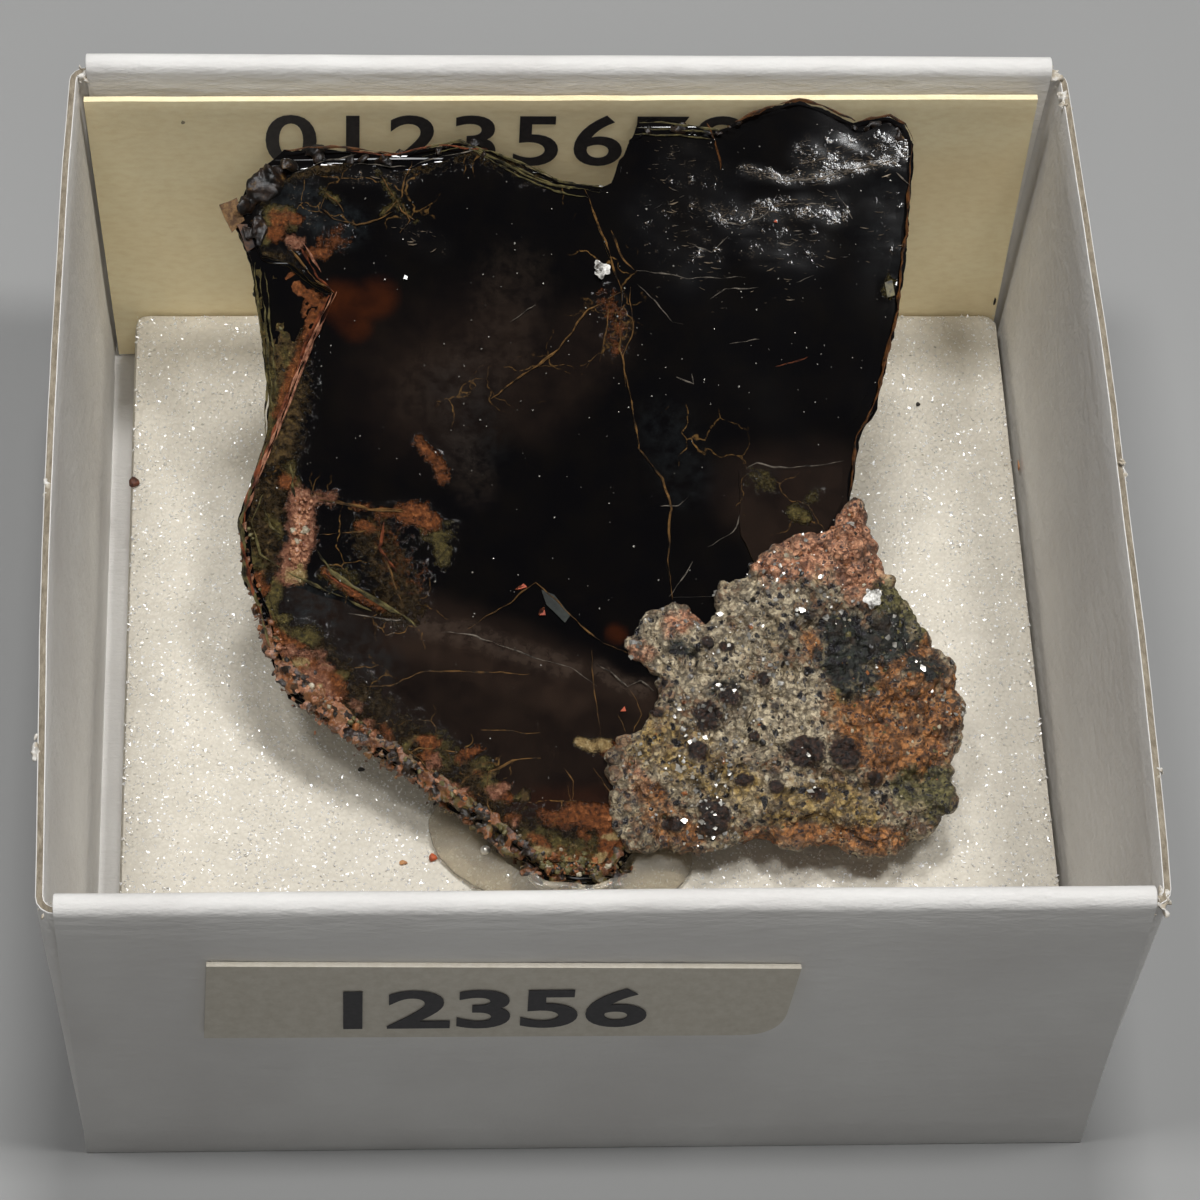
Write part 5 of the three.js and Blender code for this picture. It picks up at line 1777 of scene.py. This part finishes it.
def makeCurlModel():
    bpy.ops.object.select_all(action="DESELECT")
    bpy.ops.mesh.primitive_grid_add(x_subdivisions=5, y_subdivisions=1, size=2)
    piece = namePiece("curl")
    moveVertices(piece, lambda co: Vector((
        co.x, 0.1 * co.y * (1.2 - abs(co.x)) + 0.12 * co.x * co.x, 0.1 * co.y + 0.12 * (1 - co.x * co.x))))
    applyModifier(piece, "SOLIDIFY", thickness=0.05)
    return piece


def creaseFinish():
    # Lifted edges of creased leaves: thin, grey to brown, with a silvery shine.
    material, tree = newMaterial("creasedLeafEdge")
    patch = addNode(tree, "TexNoise", {"Vector": faceCoordinates(tree), "Scale": 1.5, "Detail": 3})[0]
    colour = layColours(tree, "#15100C", [(patch, (0.4, 0.62), "#7C6C58")])
    return setSurface(material, {"Base Color": colour, "Metallic": 0.15, "Roughness": 0.42})


def makeCreases():
    dice = random.Random(29)
    model = makeCurlModel()
    places = []
    for width, count, slope, line in creaseBands:
        for _ in range(count):
            u, v = alongLine(line, width * 0.5, dice)
            if not insideOutline(np.array([[u, v]]), faceOutline)[0]:
                continue
            size = 0.05 + 0.16 * dice.random() ** 3
            heading = math.atan2(line[-1][1] - line[0][1], line[-1][0] - line[0][0]) * (slope < 0.3)
            turn = Matrix.Rotation(dice.gauss(heading, 0.16 + 0.4 * slope), 4, "Z")
            tip = Matrix.Rotation(dice.gauss(0, 0.25), 4, "X") @ Matrix.Rotation(dice.gauss(0, 0.15), 4, "Y")
            stretch = Matrix.Diagonal((size, size * dice.uniform(0.5, 1.2), size * 0.5, 1))
            places.append(Matrix.Translation((u, v, 0.09 + wave(u, v))) @ turn @ tip @ stretch)
    creases = scatter(model, places, "creasedScales")
    finishPiece(creases, [creaseFinish()], place=faceStand, smooth=0)
    dropModel(model)


dust = {"count": 330, "smallest": 0.016, "range": 0.028}


def makeDust():
    dice = random.Random(31)
    model = makeGrain("dust", 1, 0.6, 0.4, 4)
    places = []
    while len(places) < dust["count"]:
        u, v = dice.uniform(-13, 13.5), dice.uniform(0.5, 31)
        if insideOutline(np.array([[u, v]]), faceOutline)[0]:
            size = dust["smallest"] + dust["range"] * dice.random() ** 3
            places.append(standOn((u, v, 0.09 + wave(u, v)), (0, 0, 1), size, dice, 0.5))
    specks = scatter(model, places, "faceDust")
    dropModel(model)
    finishPiece(specks, [flakeShine], place=faceStand, smooth=0)


makeCreases()
makeDust()
print("scales and dust laid")


# ---- glue bead

glue = {
    "voxel": 0.16,
    "swell": 0.1,
    "bubbles": [(-3.74, -9.0, 0.22), (-2.9, -10.3, 0.1), (-4.2, -10.4, 0.08), (-2.3, -11.6, 0.12),
                (1.6, -9.9, 0.14)],
}


def clearGlue():
    # Set clear glue, a little milky: smooth and glassy, with the foam showing through.
    finish = {"Base Color": "#F0E9DA", "Roughness": 0.09, "IOR": 1.22, "Transmission Weight": 0.84}
    return setSurface(newMaterial("setClearGlue")[0], finish)


def makeGlue():
    piece = copySolid("glue_bead", "glueBead", Matrix.Identity(4))
    applyModifier(piece, "REMESH", mode="VOXEL", voxel_size=glue["voxel"])
    applyModifier(piece, "SMOOTH", factor=0.7, iterations=10)
    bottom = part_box("glue_bead")[0].z / metre

    def swell(co):
        fade = min(1.0, max(0.0, co.z - bottom))
        out = min(1.0, max(0.0, (math.hypot(co.x - 0.3, co.y + 10.2) - 2) / 3))
        co.z = bottom + (co.z - bottom) * (1 - 0.35 * out)
        uneven = 1 + 2 * noise.noise(Vector((co.x, co.y, 0)) * 0.6)
        return co + Vector((0, 0, fade * glue["swell"] * uneven))
    moveVertices(piece, swell)
    finishPiece(piece, [clearGlue()], "glue_bead", smooth=60)
    return piece


def airInGlue():
    # Trapped air: the wall of a bubble throws the light back, so it reads silvery grey.
    finish = {"Base Color": "#E4E0D6", "Metallic": 0.7, "Roughness": 0.12}
    return setSurface(newMaterial("airBubbleInGlue")[0], finish)


def makeBubbles(bead):
    model = makeGrain("bubble", 3, 1, 0.05, 4)
    places = []
    for x, y, size in glue["bubbles"]:
        found, point, _, _ = bead.ray_cast(Vector((x, y, 30)) * metre, Vector((0, 0, -1)))
        if found:
            sunk = Matrix.Translation(point / metre - Vector((0, 0, 0.3 * size)))
            places.append(sunk @ Matrix.Scale(size, 4))
    bubbles = scatter(model, places, "glueBubbles")
    dropModel(model)
    finishPiece(bubbles, [airInGlue()], smooth=80)


makeBubbles(makeGlue())
print("glue set")


# ---- loose bits

def cellWall():
    # Cut walls of the foam's cells that face the light: white and shiny.
    material, tree = newMaterial("brightCellWall")
    sheen = addNode(tree, "TexNoise", {"Vector": inMillimetres(tree), "Scale": 3})[0]
    colour = layColours(tree, "#F7F5F0", [(sheen, (0.4, 0.6), "#FFFFFF")])
    finish = {"Base Color": colour, "Metallic": 0.5, "Roughness": 0.3, "Specular IOR Level": 1}
    return setSurface(material, finish)


# Flecks are laid in one tile, which is repeated over the foam's top.
flecks = {
    "inset": 0.12,
    "tiles": 5,
    "inTile": 1600,
    "smallest": 0.034,
    "range": 0.05,
    "lean": 0.55,
    "thickness": 0.4,     # as a share of a fleck's size
    "sunk": 0.008,
}


def makeFlecks():
    low, high = (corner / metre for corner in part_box("foam_pad"))
    inset = Vector((flecks["inset"], flecks["inset"], 0))
    low, high = low + inset, high - inset
    dice = random.Random(23)
    bpy.ops.object.select_all(action="DESELECT")
    bpy.ops.mesh.primitive_cone_add(vertices=3, radius1=1, depth=flecks["thickness"])
    model = namePiece("fleck")
    moveVertices(model, lambda co: co * (1 + 0.5 * noise.noise(co * 2.1)))
    size = (high - low) / flecks["tiles"]
    places = []
    for _ in range(flecks["inTile"]):
        point = Vector((dice.uniform(0, size.x), dice.uniform(0, size.y), 0))
        radius = flecks["smallest"] + flecks["range"] * dice.random() ** 3
        places.append(standOn(point, (0, 0, 1), radius, dice, flecks["lean"]))
    tile = scatter(model, places, "fleckTile")
    dropModel(model)
    places = []
    for i in range(flecks["tiles"]):
        for j in range(flecks["tiles"]):
            middle = low + Vector(((i + 0.5) * size.x, (j + 0.5) * size.y, 0))
            turn = Matrix.Rotation(math.pi / 2 * dice.randrange(4), 4, "Z")
            centred = Matrix.Translation((-size.x / 2, -size.y / 2, 0))
            level = high.z - flecks["sunk"]
            places.append(Matrix.Translation((middle.x, middle.y, level)) @ turn @ centred)
    piece = scatter(tile, places, "foamFlecks")
    dropModel(tile)
    finishPiece(piece, [cellWall()], smooth=0)


# Crumbs that fell off the rock, and marks on the card: place, size, stretch and finish.
crumbs = [
    ((-17.7, 9.4, 3.5), 0.22, (1, 1.1, 0.7), "crumbBrown", "#3A1C10", "#6B3A24"),
    ((-5.75, -8.8, 3.5), 0.16, (1, 1, 0.8), "crumbOrange", "#7A3012", "#C05A2C"),
    ((-6.9, -9.0, 3.45), 0.1, (1.6, 1, 0.5), "crumbTan", "#8A5630", "#C08A58"),
    ((14.9, 13.4, 3.48), 0.09, (1, 1, 1), "crumbDark", "#15130F", "#35302A"),
    ((-8.5, -4.7, 3.48), 0.1, (1.4, 0.8, 1), "crumbBlack", "#15130F", "#35302A"),
    ((-18.95, 1.4, 0.6), 0.16, (0.4, 3.2, 1.4), "smudgeLeft", "#A8643A", "#D89A6C"),
    ((18.9, 10.4, 3.2), 0.12, (0.3, 2.2, 1.4), "smudgeRight", "#B06A3C", "#E0A87C"),
    ((18.5, 18.42, 4.1), 0.14, (0.35, 0.15, 2.4), "labelMark", "#16130F", "#2C2822"),
    ((-15.5, 18.42, 15.4), 0.1, (0.8, 0.15, 1.4), "labelSmudge", "#8A8168", "#A39A80"),
]
burrVoxel = 0.06
# Burrs of torn card on the rims: place, spread, count and size.
burrs = [
    ((-20.28, -1.0, 17.25), 0.2, 16, 0.15), ((-20.15, -12.8, 17.25), 0.22, 22, 0.16),
    ((20.3, -0.5, 17.25), 0.22, 20, 0.15), ((20.1, -14.0, 17.25), 0.16, 12, 0.12),
    ((19.65, -19.4, 17.2), 0.3, 26, 0.15), ((-19.6, -19.3, 17.1), 0.2, 12, 0.13),
    ((19.3, 19.35, 17.4), 0.25, 22, 0.16), ((19.75, 18.2, 17.2), 0.25, 20, 0.16),
    ((-19.35, 19.2, 17.3), 0.22, 18, 0.15), ((-19.1, 19.5, 17.5), 0.12, 8, 0.1),
    ((19.1, -19.7, 17.4), 0.12, 10, 0.12),
]


def makeCrumbs():
    model = makeGrain("crumb", 2, 0.8, 0.5, 9)
    for place, size, stretch, name, dark, light in crumbs:
        stand = Matrix.Translation(place) @ Matrix.Diagonal([size * share for share in stretch] + [1])
        piece = scatter(model, [stand], name)
        finishPiece(piece, [fleckedFinish(name, dark, light, 0.6)], smooth=50)
    dropModel(model)


def makeBurrs():
    dice = random.Random(61)
    model = makeGrain("burr", 1, 0.7, 0.9, 5)
    places = []
    for place, spread, count, size in burrs:
        for _ in range(count):
            astray = (dice.gauss(0, min(spread, 0.12)), dice.gauss(0, spread), dice.gauss(0, 0.07))
            where = Vector(place) + Vector(astray)
            where.x = max(-20.2, min(20.2, where.x))
            where.y = max(-20.0, min(19.85, where.y))
            where.z = min(where.z, 17.85)
            places.append(standOn(where, (0, 0, 1), size * dice.uniform(0.4, 1.1), dice, 0.9))
    piece = scatter(model, places, "cardBurrs")
    dropModel(model)
    applyModifier(piece, "REMESH", mode="VOXEL", voxel_size=burrVoxel)
    crinkle(piece, 4, 4, 0.1)
    finishPiece(piece, [tornCard()], smooth=60)


def tornCard():
    # Torn fibres of the board: soft and matt, from beige to near white.
    material, tree = newMaterial("tornCardFibre")
    fibre = addNode(tree, "TexNoise", {"Vector": inMillimetres(tree), "Scale": 3, "Detail": 5})[0]
    colour = layColours(tree, "#B9AE9B", [(fibre, (0.42, 0.6), "#E9E6E0")])
    return setSurface(material, {"Base Color": colour, "Roughness": 0.9})


makeFlecks()
makeCrumbs()
makeBurrs()
print("loose bits laid")
